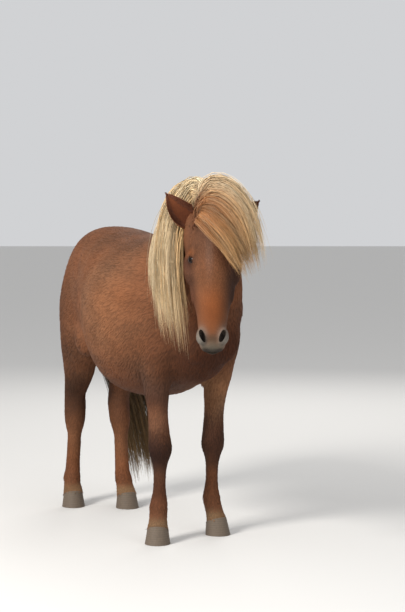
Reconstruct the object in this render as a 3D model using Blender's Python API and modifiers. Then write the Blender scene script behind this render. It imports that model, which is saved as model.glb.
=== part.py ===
"""A life-size Icelandic horse, standing still and looking to its right, in separate body parts.

Lengths are in metres. The horse faces -Y, its left side is +X and it stands on the plane Z = 0.
A place on the horse is written (side, forward, up): side grows to its left, forward to its nose.
The flesh is lofted whole, fused and smoothed, and then parted into nodes by thin cuts.
"""

import math
import random
from typing import NamedTuple

import bmesh
import bpy
import numpy as np
from mathutils import Matrix, Vector
from mathutils.bvhtree import BVHTree

# Sizes that drive the rest
GAP = 0.0003
BODY_VOXEL = 0.009
HEAD_VOXEL = 0.0042
BODY_TRIANGLES = 4000
HEAD_TRIANGLES = 2500
LOFT_SIDES = 32
LEG_CUT = 0.575

# Stance: where the middle of each hoof stands, as (side, forward)
FORE_HOOF = {"right": (-0.167, 0.431), "left": (0.167, 0.363)}
HIND_HOOF = {"right": (-0.108, -0.608), "left": (0.108, -0.451)}
FORE_TOE_OUT = {"right": math.radians(32.0), "left": math.radians(4.0)}
HIND_TOE_OUT = {"right": math.radians(16.0), "left": math.radians(-6.0)}
FORE_SQUARE = 0.397
HIND_SQUARE = -0.529

# Head: where the poll is, how far the face turns to the horse's right, and how far the nose pokes out
POLL = (-0.140, 0.882, 1.468)
HEAD_TURN = math.radians(28.0)
FACE_TILT = math.radians(17.0)

EYE_RADIUS = 0.0215
LID_THICKNESS = 0.0055
EYE_PLACE = (0.0770, 0.230, -0.002)
EYE_OPENING = (0.0180, 0.0100)
NOSTRIL_PLACE = (0.0400, 0.552, 0.0130)
NOSTRIL_RADII = (0.0110, 0.0270, 0.0240)
NOSTRIL_SLANT = math.radians(16.0)
MOUTH_FRONT = -0.0560
MOUTH_GAP = 0.0030
MOUTH_DEPTH = 0.0090

EAR_ROOT = (0.064, 0.064, -0.020)
EAR_TIP = {"right": (0.189, -0.055, -0.010), "left": (0.190, -0.022, -0.010)}
EAR_WIDTH = 0.072
EAR_WALL = 0.0050

HOOF_RADII = (0.0560, 0.0620)
HOOF_TOP_RADII = (0.0460, 0.0500)
HOOF_FRONT_HEIGHT = 0.080
HOOF_HEEL_HEIGHT = 0.048
HOOF_SETBACK = 0.014

HAIR_GAP = 0.0006
SHAGGY_GAP = 0.006
HAIR_SEED = 22
HAIR_VOXEL = 0.0032
HAIR_TRIANGLES = {"mane": 2300, "forelock": 1500, "tail": 1600}
TIP_WIDTH = 0.0065
MIN_STEP = 0.006
BEND = 0.00006
MOST_BENDS = 300
MANE_FIRST = 0.10
MANE_LAST = 0.93
MANE_LAYERS = [(10, 0.045, 0.155, 0.018), (11, 0.105, 0.205, 0.018)]
MANE_WIDTH = 0.082
MANE_STEPS = 7
FORELOCK_LAYERS = [(6, 0.000, 0.013), (7, 0.020, 0.013)]
FORELOCK_WIDTH = 0.068
FORELOCK_STEPS = 6
TAIL_RINGS = [(4, 0.018, 0.90), (7, 0.045, 0.97), (6, 0.070, 1.0)]
TAIL_WIDTH = 0.056
TAIL_STEPS = 8

SIDES = {"right": -1, "left": 1}


class Ring(NamedTuple):
    """One cross-section of a loft: an upright oval between two points, wider or narrower above and below."""

    top: Vector
    bottom: Vector
    lateral: Vector
    half_width: float
    widest: float = 0.5
    upper: float = 2.0
    lower: float = 2.0


class Trunk(NamedTuple):
    """A cross-section of the trunk at one place along the back."""

    forward: float
    top: float
    widest: float
    bottom: float
    half_width: float
    crown: float
    keel: float


class Slice(NamedTuple):
    """A level slice of a leg, measured from the middle of its hoof."""

    up: float
    forward: float
    half_depth: float
    half_width: float


class Face(NamedTuple):
    """A cross-section of the head: along the face from the poll, then out in front of that line and behind it."""

    along: float
    front: float
    back: float
    half_width: float
    widest: float
    upper: float
    lower: float


TRUNK = [
    Trunk(-0.748, 1.100, 1.040, 0.990, 0.040, 2.0, 2.0),
    Trunk(-0.722, 1.180, 1.030, 0.940, 0.100, 2.0, 2.0),
    Trunk(-0.666, 1.270, 1.025, 0.870, 0.136, 2.1, 2.0),
    Trunk(-0.568, 1.338, 1.035, 0.845, 0.172, 2.3, 2.0),
    Trunk(-0.441, 1.371, 1.050, 0.809, 0.200, 2.3, 2.0),
    Trunk(-0.314, 1.376, 1.060, 0.740, 0.222, 2.2, 2.1),
    Trunk(-0.196, 1.368, 1.029, 0.676, 0.258, 2.2, 2.2),
    Trunk(-0.078, 1.350, 0.980, 0.629, 0.294, 2.2, 2.3),
    Trunk(0.039, 1.338, 0.960, 0.606, 0.314, 2.2, 2.3),
    Trunk(0.157, 1.338, 0.960, 0.608, 0.308, 2.1, 2.2),
    Trunk(0.274, 1.360, 0.980, 0.635, 0.276, 1.9, 2.1),
    Trunk(0.372, 1.394, 1.009, 0.666, 0.238, 1.7, 2.1),
    Trunk(0.465, 1.403, 1.029, 0.691, 0.208, 1.6, 2.1),
    Trunk(0.555, 1.372, 1.029, 0.720, 0.172, 1.7, 2.1),
    Trunk(0.630, 1.274, 1.019, 0.779, 0.138, 1.9, 2.0),
    Trunk(0.680, 1.166, 1.000, 0.848, 0.106, 2.0, 2.0),
    Trunk(0.706, 1.068, 0.980, 0.906, 0.045, 2.0, 2.0),
]

# The neck's rings: top and under edge as (side, forward, up), half width, and how far it has turned
NECK = [
    ((0.000, 0.392, 1.372), (0.000, 0.530, 0.813), 0.170, 0.00),
    ((0.000, 0.470, 1.405), (0.000, 0.632, 0.872), 0.165, 0.05),
    ((-0.018, 0.549, 1.433), (-0.010, 0.690, 0.955), 0.152, 0.15),
    ((-0.049, 0.637, 1.460), (-0.031, 0.724, 1.045), 0.130, 0.35),
    ((-0.088, 0.725, 1.480), (-0.059, 0.752, 1.125), 0.110, 0.60),
    ((-0.120, 0.804, 1.488), (-0.084, 0.780, 1.186), 0.096, 0.85),
    ((-0.137, 0.860, 1.474), (-0.103, 0.812, 1.236), 0.084, 1.00),
    ((-0.147, 0.892, 1.441), (-0.118, 0.848, 1.290), 0.062, 1.00),
]

FORELEG = [
    Slice(0.030, -0.004, 0.052, 0.050),
    Slice(0.060, -0.006, 0.051, 0.049),
    Slice(0.080, -0.013, 0.047, 0.045),
    Slice(0.098, -0.024, 0.044, 0.042),
    Slice(0.116, -0.034, 0.043, 0.041),
    Slice(0.136, -0.044, 0.044, 0.041),
    Slice(0.160, -0.052, 0.047, 0.042),
    Slice(0.190, -0.054, 0.042, 0.036),
    Slice(0.243, -0.052, 0.036, 0.029),
    Slice(0.313, -0.049, 0.037, 0.031),
    Slice(0.357, -0.047, 0.045, 0.041),
    Slice(0.392, -0.046, 0.054, 0.053),
    Slice(0.425, -0.045, 0.055, 0.054),
    Slice(0.471, -0.048, 0.054, 0.049),
    Slice(0.554, -0.052, 0.057, 0.044),
    Slice(0.636, -0.052, 0.071, 0.050),
    Slice(0.700, -0.046, 0.087, 0.058),
    Slice(0.775, -0.026, 0.108, 0.068),
    Slice(0.860, 0.018, 0.128, 0.076),
    Slice(0.960, 0.050, 0.136, 0.078),
    Slice(1.060, 0.040, 0.118, 0.068),
    Slice(1.140, 0.018, 0.080, 0.050),
]

HINDLEG = [
    Slice(0.030, -0.004, 0.053, 0.050),
    Slice(0.060, -0.006, 0.053, 0.050),
    Slice(0.086, -0.021, 0.049, 0.047),
    Slice(0.112, -0.040, 0.044, 0.042),
    Slice(0.140, -0.056, 0.048, 0.043),
    Slice(0.175, -0.066, 0.044, 0.038),
    Slice(0.225, -0.070, 0.041, 0.036),
    Slice(0.300, -0.072, 0.041, 0.036),
    Slice(0.350, -0.075, 0.042, 0.037),
    Slice(0.410, -0.081, 0.056, 0.051),
    Slice(0.460, -0.088, 0.064, 0.053),
    Slice(0.504, -0.093, 0.071, 0.052),
    Slice(0.545, -0.086, 0.074, 0.050),
    Slice(0.593, -0.054, 0.086, 0.057),
    Slice(0.650, -0.018, 0.106, 0.066),
    Slice(0.720, 0.006, 0.140, 0.072),
    Slice(0.800, 0.038, 0.172, 0.084),
    Slice(0.900, 0.052, 0.196, 0.092),
    Slice(1.000, 0.054, 0.202, 0.094),
    Slice(1.100, 0.062, 0.174, 0.087),
    Slice(1.200, 0.056, 0.122, 0.061),
]

# Each leg's line above the fetlock, as (up, side) from the fetlock to the trunk
FORELEG_LINE = {
    "right": ((0.160, 0.136), (0.410, 0.128), (0.800, 0.138), (1.140, 0.095)),
    "left": ((0.160, 0.164), (0.410, 0.160), (0.620, 0.171), (0.720, 0.178), (0.820, 0.163), (1.140, 0.095)),
}
HINDLEG_LINE = {
    "right": ((0.140, 0.086), (0.500, 0.070), (0.800, 0.106), (1.200, 0.116)),
    "left": ((0.140, 0.114), (0.500, 0.121), (0.800, 0.130), (1.200, 0.120)),
}

HEAD = [
    Face(-0.030, -0.022, -0.105, 0.042, 0.50, 2.0, 2.0),
    Face(0.000, 0.002, -0.135, 0.062, 0.50, 2.0, 2.0),
    Face(0.050, 0.036, -0.160, 0.078, 0.50, 2.1, 2.0),
    Face(0.110, 0.058, -0.182, 0.091, 0.50, 2.2, 2.0),
    Face(0.170, 0.066, -0.198, 0.099, 0.48, 2.2, 2.1),
    Face(0.225, 0.066, -0.196, 0.103, 0.46, 2.1, 2.1),
    Face(0.285, 0.060, -0.178, 0.104, 0.45, 2.0, 2.0),
    Face(0.345, 0.052, -0.150, 0.092, 0.46, 2.0, 2.0),
    Face(0.405, 0.045, -0.124, 0.076, 0.48, 2.1, 1.9),
    Face(0.455, 0.039, -0.108, 0.064, 0.50, 2.2, 1.9),
    Face(0.510, 0.032, -0.100, 0.058, 0.50, 2.3, 2.0),
    Face(0.555, 0.021, -0.098, 0.056, 0.50, 2.3, 2.1),
    Face(0.590, 0.004, -0.092, 0.051, 0.50, 2.2, 2.2),
    Face(0.612, -0.020, -0.076, 0.036, 0.50, 2.0, 2.0),
]


def at(side, forward, up):
    """The point of the model at a place on the horse."""
    return Vector((side, -forward, up))


def head_axes():
    """The head's own directions: to its left, along the face to the nose, and out of the face."""
    facing = at(-math.sin(HEAD_TURN), math.cos(HEAD_TURN), 0)
    up = Vector((0, 0, 1))
    left = up.cross(facing)
    along = facing * math.sin(FACE_TILT) - up * math.cos(FACE_TILT)
    front = facing * math.cos(FACE_TILT) + up * math.sin(FACE_TILT)
    return left, along, front


def on_head(side, along, front):
    """The point of the model at a place on the head."""
    axes = head_axes()
    return at(*POLL) + axes[0] * side + axes[1] * along + axes[2] * front


def clear_scene():
    for thing in list(bpy.data.objects):
        bpy.data.objects.remove(thing)


def group(name):
    """A new collection in the scene."""
    made = bpy.data.collections.new(name)
    bpy.context.scene.collection.children.link(made)
    return made


def mesh_object(name, points, faces, home):
    """A mesh object with its faces pointing out."""
    mesh = bpy.data.meshes.new(name)
    mesh.from_pydata([tuple(point) for point in points], [], faces)
    body = bmesh.new()
    body.from_mesh(mesh)
    bmesh.ops.recalc_face_normals(body, faces=body.faces)
    body.to_mesh(mesh)
    body.free()
    made = bpy.data.objects.new(name, mesh)
    home.objects.link(made)
    return made


def signed_power(value, exponent):
    return math.copysign(abs(value) ** exponent, value)


def ring_points(ring, sides=LOFT_SIDES):
    """The points round one ring, starting at its lateral side and going over its top."""
    axis = ring.top - ring.bottom
    middle = ring.bottom + axis * ring.widest
    points = []
    for step in range(sides):
        angle = 2 * math.pi * step / sides
        exponent = 2 / (ring.upper if math.sin(angle) > 0 else ring.lower)
        reach = (1 - ring.widest) if math.sin(angle) > 0 else ring.widest
        out = signed_power(math.cos(angle), exponent) * ring.half_width
        rise = signed_power(math.sin(angle), exponent) * reach
        points.append(middle + ring.lateral * out + axis * rise)
    return points


def curve_through(values, steps):
    """Rows of numbers on a smooth curve through the given rows, with more rows between each pair."""
    rows = np.array(values, float)
    padded = np.vstack([2 * rows[0] - rows[1], rows, 2 * rows[-1] - rows[-2]])
    found = []
    for i in range(len(rows) - 1):
        before, start, end, after = padded[i : i + 4]
        for step in range(steps):
            t = step / steps
            bend = 2 * before - 5 * start + 4 * end - after
            twist = 3 * start - before - 3 * end + after
            found.append(start + 0.5 * t * (end - before + t * (bend + t * twist)))
    found.append(rows[-1])
    return found


def smooth_rings(rings, steps=3):
    """More rings, on smooth curves through the given ones."""
    rows = [[*ring.top, *ring.bottom, *ring.lateral, *ring[3:]] for ring in rings]
    return [
        Ring(Vector(row[0:3]), Vector(row[3:6]), Vector(row[6:9]).normalized(), *row[9:])
        for row in curve_through(rows, steps)
    ]


def loft(name, rings, home, sides=LOFT_SIDES):
    """A closed skin over the rings, with a fan at each end."""
    points, faces = [], []
    for ring in rings:
        points += ring_points(ring, sides)
    for i in range(len(rings) - 1):
        for j in range(sides):
            k = (j + 1) % sides
            faces.append((i * sides + j, i * sides + k, (i + 1) * sides + k, (i + 1) * sides + j))
    for start, middle in ((0, rings[0]), ((len(rings) - 1) * sides, rings[-1])):
        points.append((middle.top + middle.bottom) / 2)
        hub = len(points) - 1
        faces += [(hub, start + j, start + (j + 1) % sides) for j in range(sides)]
    return mesh_object(name, points, faces, home)


def ellipsoid(name, centre, radii, axes, home, segments=28):
    """A round form with its three radii along three directions."""
    bpy.ops.mesh.primitive_uv_sphere_add(segments=segments, ring_count=segments * 2 // 3, radius=1)
    made = bpy.context.object
    turn = Matrix([axis.normalized() for axis in axes]).transposed().to_4x4()
    made.data.transform(Matrix.Translation(centre) @ turn @ Matrix.Diagonal((*radii, 1)))
    if turn.determinant() < 0:
        made.data.flip_normals()
    made.name = name
    for old in list(made.users_collection):
        old.objects.unlink(made)
    home.objects.link(made)
    return made


LEVEL_AXES = (Vector((1, 0, 0)), Vector((0, 1, 0)), Vector((0, 0, 1)))


def pitched_axes(angle):
    """Side, forward and up directions, tipped so that forward rises by the angle."""
    turn = Matrix.Rotation(-angle, 3, "X")
    return tuple(turn @ axis for axis in LEVEL_AXES)


def trunk_form(home):
    rings = [
        Ring(
            at(0, cut.forward, cut.top),
            at(0, cut.forward, cut.bottom),
            Vector((1, 0, 0)),
            cut.half_width,
            (cut.widest - cut.bottom) / (cut.top - cut.bottom),
            cut.crown,
            cut.keel,
        )
        for cut in TRUNK
    ]
    loft("trunk_form", smooth_rings(rings), home)


def neck_form(home):
    rings = []
    for top, bottom, half_width, turned in NECK:
        yaw = HEAD_TURN * turned
        lateral = at(math.cos(yaw), math.sin(yaw), 0)
        rings.append(Ring(at(*top), at(*bottom), lateral, half_width, 0.42, 1.75, 2.1))
    loft("neck_form", smooth_rings(rings), home)


def leg_line_at(line, up):
    """How far out a leg's line is at a height."""
    heights = [point[0] for point in line]
    outs = [point[1] for point in line]
    return float(np.interp(up, heights, outs))


def leg_rings(slices, hoof, toe_out, square, line, sign, top_of_swing):
    """A leg's rings. Its pastern follows the toe, and its upper end stays where a square stance has it."""
    fetlock = next(cut for cut in slices if cut.up >= line[0][0])
    toe = Vector((sign * math.sin(toe_out), math.cos(toe_out)))
    rings = []
    for cut in slices:
        swing = max(0.0, min(1.0, (top_of_swing - cut.up) / (top_of_swing - fetlock.up)))
        share = min(1.0, cut.forward / fetlock.forward) if cut.up <= fetlock.up else 1.0
        foot = Vector(hoof) + toe * fetlock.forward * share
        side = foot.x
        forward = foot.y
        if cut.up > fetlock.up:
            side = sign * leg_line_at(line, cut.up)
            settled = square + fetlock.forward
            forward = settled + (foot.y - settled) * swing + cut.forward - fetlock.forward
        rings.append(
            Ring(
                at(side, forward + cut.half_depth, cut.up),
                at(side, forward - cut.half_depth, cut.up),
                Vector((1, 0, 0)),
                cut.half_width,
            )
        )
    return rings


def leg_forms(home):
    for name, sign in SIDES.items():
        fore = leg_rings(
            FORELEG, FORE_HOOF[name], FORE_TOE_OUT[name], FORE_SQUARE, FORELEG_LINE[name], sign, 0.95
        )
        hind = leg_rings(
            HINDLEG, HIND_HOOF[name], HIND_TOE_OUT[name], HIND_SQUARE, HINDLEG_LINE[name], sign, 1.05
        )
        loft(f"foreleg_form_{name}", smooth_rings(fore), home, 24)
        loft(f"hindleg_form_{name}", smooth_rings(hind), home, 24)


def muscle_forms(home):
    """Shoulder, breast, haunch, hip, buttock and elbow on each side."""
    for name, sign in SIDES.items():
        swell = [
            ("shoulder", (0.112, 0.455, 1.080), (0.085, 0.110, 0.220), 62),
            ("triceps", (0.140, 0.385, 0.905), (0.075, 0.105, 0.130), 30),
            ("breast", (0.070, 0.600, 0.910), (0.072, 0.085, 0.120), 0),
            ("elbow", (0.145, 0.325, 0.800), (0.040, 0.048, 0.055), 0),
            ("haunch", (0.098, -0.455, 1.080), (0.104, 0.185, 0.155), -18),
            ("hip_point", (0.165, -0.265, 1.220), (0.052, 0.080, 0.055), -20),
            ("buttock", (0.078, -0.635, 1.020), (0.074, 0.090, 0.165), -10),
            ("stifle", (0.150, -0.335, 0.850), (0.065, 0.085, 0.095), 0),
        ]
        for what, (side, forward, up), radii, pitch in swell:
            axes = pitched_axes(math.radians(pitch))
            ellipsoid(f"{what}_{name}", at(sign * side, forward, up), radii, axes, home)


def head_form(home):
    left = head_axes()[0]
    rings = [
        Ring(
            on_head(0, cut.along, cut.front),
            on_head(0, cut.along, cut.back),
            left,
            cut.half_width,
            cut.widest,
            cut.upper,
            cut.lower,
        )
        for cut in HEAD
    ]
    loft("head_form", smooth_rings(rings), home)


def face_forms(home):
    """Cheek, brow, cheek ridge, nostril wing, lips and chin."""
    axes = head_axes()
    for name, sign in SIDES.items():
        swell = [
            ("cheek", (0.056, 0.215, -0.095), (0.054, 0.105, 0.090)),
            ("brow", (0.068, 0.196, 0.014), (0.024, 0.050, 0.032)),
            ("orbit", (0.066, 0.228, -0.004), (0.031, 0.056, 0.044)),
            ("cheek_ridge", (0.078, 0.315, -0.030), (0.016, 0.090, 0.018)),
            ("eye_bulge", EYE_PLACE, (EYE_RADIUS + LID_THICKNESS,) * 3),
            ("nostril_wing", (0.041, 0.550, 0.003), (0.026, 0.044, 0.026)),
            ("ear_seat", (0.058, 0.066, -0.030), (0.030, 0.034, 0.034)),
        ]
        for what, (side, along, front), radii in swell:
            ellipsoid(f"{what}_{name}", on_head(sign * side, along, front), radii, axes, home)
    ellipsoid("upper_lip", on_head(0, 0.588, -0.022), (0.046, 0.030, 0.032), axes, home)
    ellipsoid("chin", on_head(0, 0.562, -0.078), (0.036, 0.034, 0.026), axes, home)


def join_all(name, pieces, home):
    """One mesh object that holds all the pieces' faces."""
    body = bmesh.new()
    for piece in pieces:
        body.from_mesh(piece.data)
    mesh = bpy.data.meshes.new(name)
    body.to_mesh(mesh)
    body.free()
    made = bpy.data.objects.new(name, mesh)
    home.objects.link(made)
    return made


def apply_modifiers(thing):
    """Replaces an object's mesh by the one that its modifiers make."""
    bpy.context.view_layer.update()
    graph = bpy.context.evaluated_depsgraph_get()
    mesh = bpy.data.meshes.new_from_object(thing.evaluated_get(graph))
    thing.modifiers.clear()
    old = thing.data
    thing.data = mesh
    bpy.data.meshes.remove(old)


def remove(things):
    for thing in list(things):
        bpy.data.objects.remove(thing)


def fuse(thing, voxel):
    """Fuses overlapping closed forms into one skin."""
    remesh = thing.modifiers.new("fuse", "REMESH")
    remesh.mode = "VOXEL"
    remesh.voxel_size = voxel
    apply_modifiers(thing)


def soften(thing, weight_of, rounds):
    """Smooths a mesh, by a share that depends on the place."""
    soft = thing.vertex_groups.new(name="soft")
    for vertex in thing.data.vertices:
        soft.add([vertex.index], weight_of(vertex.co), "REPLACE")
    smooth = thing.modifiers.new("soften", "SMOOTH")
    smooth.factor = 0.5
    smooth.iterations = rounds
    smooth.vertex_group = "soft"
    apply_modifiers(thing)


def body_softness(point):
    """Full on the trunk and neck, less on the legs, which would shrink."""
    return max(0.12, min(1.0, (point.z - 0.70) / 0.22))


def thin_out(thing, triangles):
    """Fewer triangles, which stay closest where the surface bends most."""
    mesh = thing.data
    mesh.calc_loop_triangles()
    fewer = thing.modifiers.new("thin_out", "DECIMATE")
    fewer.ratio = triangles / len(mesh.loop_triangles)
    fewer.use_collapse_triangulate = True
    apply_modifiers(thing)


def flesh_of(name, forms, home, voxel, softness, rounds, triangles):
    """One smooth skin over overlapping forms, which are then removed."""
    flesh = join_all(name, forms.objects, home)
    remove(forms.objects)
    fuse(flesh, voxel)
    soften(flesh, softness, rounds)
    thin_out(flesh, triangles)
    return flesh


def body_flesh(home):
    forms = group("body_forms")
    trunk_form(forms)
    neck_form(forms)
    leg_forms(forms)
    muscle_forms(forms)
    return flesh_of("body_flesh", forms, home, BODY_VOXEL, body_softness, 80, BODY_TRIANGLES)


def head_flesh(home):
    forms = group("head_forms")
    head_form(forms)
    face_forms(forms)
    neck_form(forms)
    return flesh_of("head_flesh", forms, home, HEAD_VOXEL, lambda point: 1.0, 12, HEAD_TRIANGLES)


def bisect(thing, point, normal):
    """Keeps what lies behind a plane and closes the cut."""
    body = bmesh.new()
    body.from_mesh(thing.data)
    everything = body.verts[:] + body.edges[:] + body.faces[:]
    bmesh.ops.bisect_plane(
        body, geom=everything, dist=1e-7, plane_co=point, plane_no=normal, clear_outer=True
    )
    rim = [edge for edge in body.edges if edge.is_boundary]
    bmesh.ops.holes_fill(body, edges=rim, sides=0)
    bmesh.ops.triangulate(body, faces=[face for face in body.faces if len(face.verts) > 3])
    body.to_mesh(thing.data)
    body.free()


def block(name, planes, home):
    """A convex block between planes, each given by a point on it and the way out."""
    made = cube(name, 6.0, home)
    for point, normal in planes:
        bisect(made, point, normal)
    return made


def cube(name, size, home):
    bpy.ops.mesh.primitive_cube_add(size=size)
    made = bpy.context.object
    made.name = name
    for old in list(made.users_collection):
        old.objects.unlink(made)
    home.objects.link(made)
    return made


def copy_of(thing, name, home):
    made = bpy.data.objects.new(name, thing.data.copy())
    home.objects.link(made)
    return made


def grown(thing, home, distance):
    """A copy of a closed form, larger by a distance all round."""
    made = copy_of(thing, thing.name + "_grown", home)
    swell = made.modifiers.new("grow", "DISPLACE")
    swell.strength = distance
    swell.mid_level = 0
    apply_modifiers(made)
    return made


def combine(thing, other, operation):
    """Cuts, joins or meets one closed form with another."""
    change = thing.modifiers.new(operation.lower(), "BOOLEAN")
    change.operation = operation
    change.object = other
    change.solver = "MANIFOLD"
    apply_modifiers(thing)


def combine_group(thing, home, operation):
    """Cuts or joins a closed form with all the forms of a collection."""
    change = thing.modifiers.new(operation.lower(), "BOOLEAN")
    change.operation = operation
    change.operand_type = "COLLECTION"
    change.collection = home
    change.solver = "MANIFOLD"
    apply_modifiers(thing)
    remove(home.objects)


def volume_of(body, faces):
    total = 0.0
    for face in faces:
        points = [loop.vert.co for loop in face.loops]
        for i in range(1, len(points) - 1):
            total += points[0].dot(points[i].cross(points[i + 1]))
    return total / 6


def keep_largest(thing):
    """Keeps only the largest closed surface of a mesh, in triangles."""
    body = bmesh.new()
    body.from_mesh(thing.data)
    left = set(body.faces)
    shells = []
    for first in body.faces:
        if first not in left:
            continue
        left.discard(first)
        shell, edge = [first], [first]
        while edge:
            face = edge.pop()
            for side in face.edges:
                for other in side.link_faces:
                    if other in left:
                        left.discard(other)
                        shell.append(other)
                        edge.append(other)
        shells.append(shell)
    shells.sort(key=lambda shell: volume_of(body, shell))
    for shell in shells[:-1]:
        bmesh.ops.delete(body, geom=shell, context="FACES")
    loose = [vertex for vertex in body.verts if not vertex.link_faces]
    bmesh.ops.delete(body, geom=loose, context="VERTS")
    bmesh.ops.triangulate(body, faces=body.faces)
    body.to_mesh(thing.data)
    body.free()


def split(thing, point, normal, ahead_name, home, whole=False):
    """Parts a form at a plane with a thin gap. The part ahead of the plane gets the new name."""
    normal = normal.normalized()
    ahead = copy_of(thing, ahead_name, home)
    bisect(thing, point - normal * GAP / 2, normal)
    bisect(ahead, point + normal * GAP / 2, -normal)
    if not whole:
        keep_largest(thing)
        keep_largest(ahead)
    return ahead


def leg_block(kind, sign, home, more):
    """The wedge that holds one upper leg and parts it from the trunk."""
    if kind == "fore":
        planes = [
            (at(sign * 0.050, 0, 0), at(-sign, 0, 0)),
            (at(0, 0.258, 0), at(0, -1, 0)),
            (at(0, 0.600, 0), at(0, 1, 0)),
            (at(sign * 0.050, 0, 0.655), at(-sign * 0.73, 0, 0.71)),
        ]
    else:
        planes = [
            (at(sign * 0.012, 0, 0), at(-sign, 0, 0)),
            (at(0, -0.200, 0.900), at(0, 0.82, -0.57)),
            (at(sign * 0.020, 0, 0.750), at(-sign * 0.60, 0, 0.80)),
        ]
    shifted = [(point + normal.normalized() * more, normal) for point, normal in planes]
    return block(f"{kind}_block", shifted, home)


def part_legs(flesh, horse, cutters):
    """Takes the four legs off the trunk, each in an upper and a lower part."""
    shins = split(flesh, at(0, 0, LEG_CUT), at(0, 0, -1), "shins", cutters, whole=True)
    for kind, ahead in (("fore", 1), ("hind", -1)):
        for name, sign in SIDES.items():
            upper = copy_of(flesh, f"{kind}leg_upper_{name}", horse)
            inner = leg_block(kind, sign, cutters, 0.0)
            outer = leg_block(kind, sign, cutters, GAP)
            combine(upper, inner, "INTERSECT")
            keep_largest(upper)
            combine(flesh, outer, "DIFFERENCE")
            remove([inner, outer])
            lower = copy_of(shins, f"{kind}leg_lower_{name}", horse)
            bisect(lower, at(0, 0, 0), at(-sign, 0, 0))
            bisect(lower, at(0, 0, 0), at(0, -ahead, 0))
            toe, middle = hoof_line(kind, name)
            slope = HOOF_FRONT_HEIGHT - HOOF_HEEL_HEIGHT
            depth = 2 * HOOF_TOP_RADII[1]
            tilt = (toe * -slope + at(0, 0, depth)).normalized()
            mid_height = (HOOF_FRONT_HEIGHT + HOOF_HEEL_HEIGHT) / 2
            top_middle = middle - toe * HOOF_SETBACK + at(0, 0, mid_height)
            bisect(lower, top_middle + tilt * GAP, -tilt)
            keep_largest(lower)
            hoof(f"{kind}_hoof_{name}", middle, toe, horse)
    remove([shins])
    keep_largest(flesh)


def hoof_line(kind, name):
    """Which way a hoof points, and where its middle is."""
    places, turned = (FORE_HOOF, FORE_TOE_OUT) if kind == "fore" else (HIND_HOOF, HIND_TOE_OUT)
    angle = turned[name] * SIDES[name]
    return at(math.sin(angle), math.cos(angle), 0), at(*places[name], 0)


def hoof(name, middle, toe, home):
    """A hoof: a flat sole, sloping walls, and a top that falls from toe to heel."""
    across = Vector((-toe.y, toe.x, 0))
    sides = 20
    points = []
    for share, rise in ((0.0, 0.0), (0.06, 0.1), (1.0, 1.0)):
        for step in range(sides):
            angle = 2 * math.pi * step / sides
            half_wide = HOOF_RADII[0] + (HOOF_TOP_RADII[0] - HOOF_RADII[0]) * share
            half_deep = HOOF_RADII[1] + (HOOF_TOP_RADII[1] - HOOF_RADII[1]) * share
            ahead = math.cos(angle) * half_deep - HOOF_SETBACK * share
            blunt = 1.0 if math.cos(angle) > 0 else 0.86
            out = math.sin(angle) * half_wide
            height = (HOOF_FRONT_HEIGHT + HOOF_HEEL_HEIGHT) / 2
            height += (HOOF_FRONT_HEIGHT - HOOF_HEEL_HEIGHT) / 2 * math.cos(angle)
            place = middle + toe * ahead * blunt + across * out
            points.append(place + Vector((0, 0, height * rise)))
    faces = [tuple(range(sides)), tuple(range(2 * sides, 3 * sides))]
    for ring in range(2):
        for j in range(sides):
            k = (j + 1) % sides
            start = ring * sides
            faces.append((start + j, start + k, start + sides + k, start + sides + j))
    return mesh_object(name, points, faces, home)


def head_direction(side, along, front):
    return on_head(side, along, front) - on_head(0, 0, 0)


def part_neck(flesh, horse, cutters):
    """Parts the neck from the trunk, and makes room for the head. Trunk and neck come back."""
    ahead = at(0, 0.40, 0.23)
    neck = split(flesh, at(0, 0.575, 1.20), ahead, "neck", horse)
    room = block("head_room", head_planes(GAP), cutters)
    combine(neck, room, "DIFFERENCE")
    remove([room])
    keep_largest(neck)
    return neck


def head_planes(more):
    """The two planes behind the head, each with its way out of the head."""
    nape = head_direction(0, -0.634, -0.773)
    throat = head_direction(0, 0, -1)
    return [
        (on_head(0, -0.030, -0.030) + nape * more, nape),
        (on_head(0, 0, -0.212) + throat * more, throat),
    ]


def almond(name, centre, out, long_way, half_long, half_high, home):
    """A prism with an almond outline, which stands out from its centre."""
    high_way = out.cross(long_way).normalized()
    outline = []
    for sign in (1, -1):
        for step in range(7):
            t = -1 + 2 * step / 7 if sign > 0 else 1 - 2 * step / 7
            outline.append((t * half_long, sign * half_high * (1 - t * t) ** 0.8))
    points = []
    for reach in (0.0, 0.06):
        points += [centre + out * reach + long_way * x + high_way * y for x, y in outline]
    count = len(outline)
    faces = [tuple(range(count)), tuple(range(count, 2 * count))]
    for j in range(count):
        k = (j + 1) % count
        faces.append((j, k, count + k, count + j))
    return mesh_object(name, points, faces, home)


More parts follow.
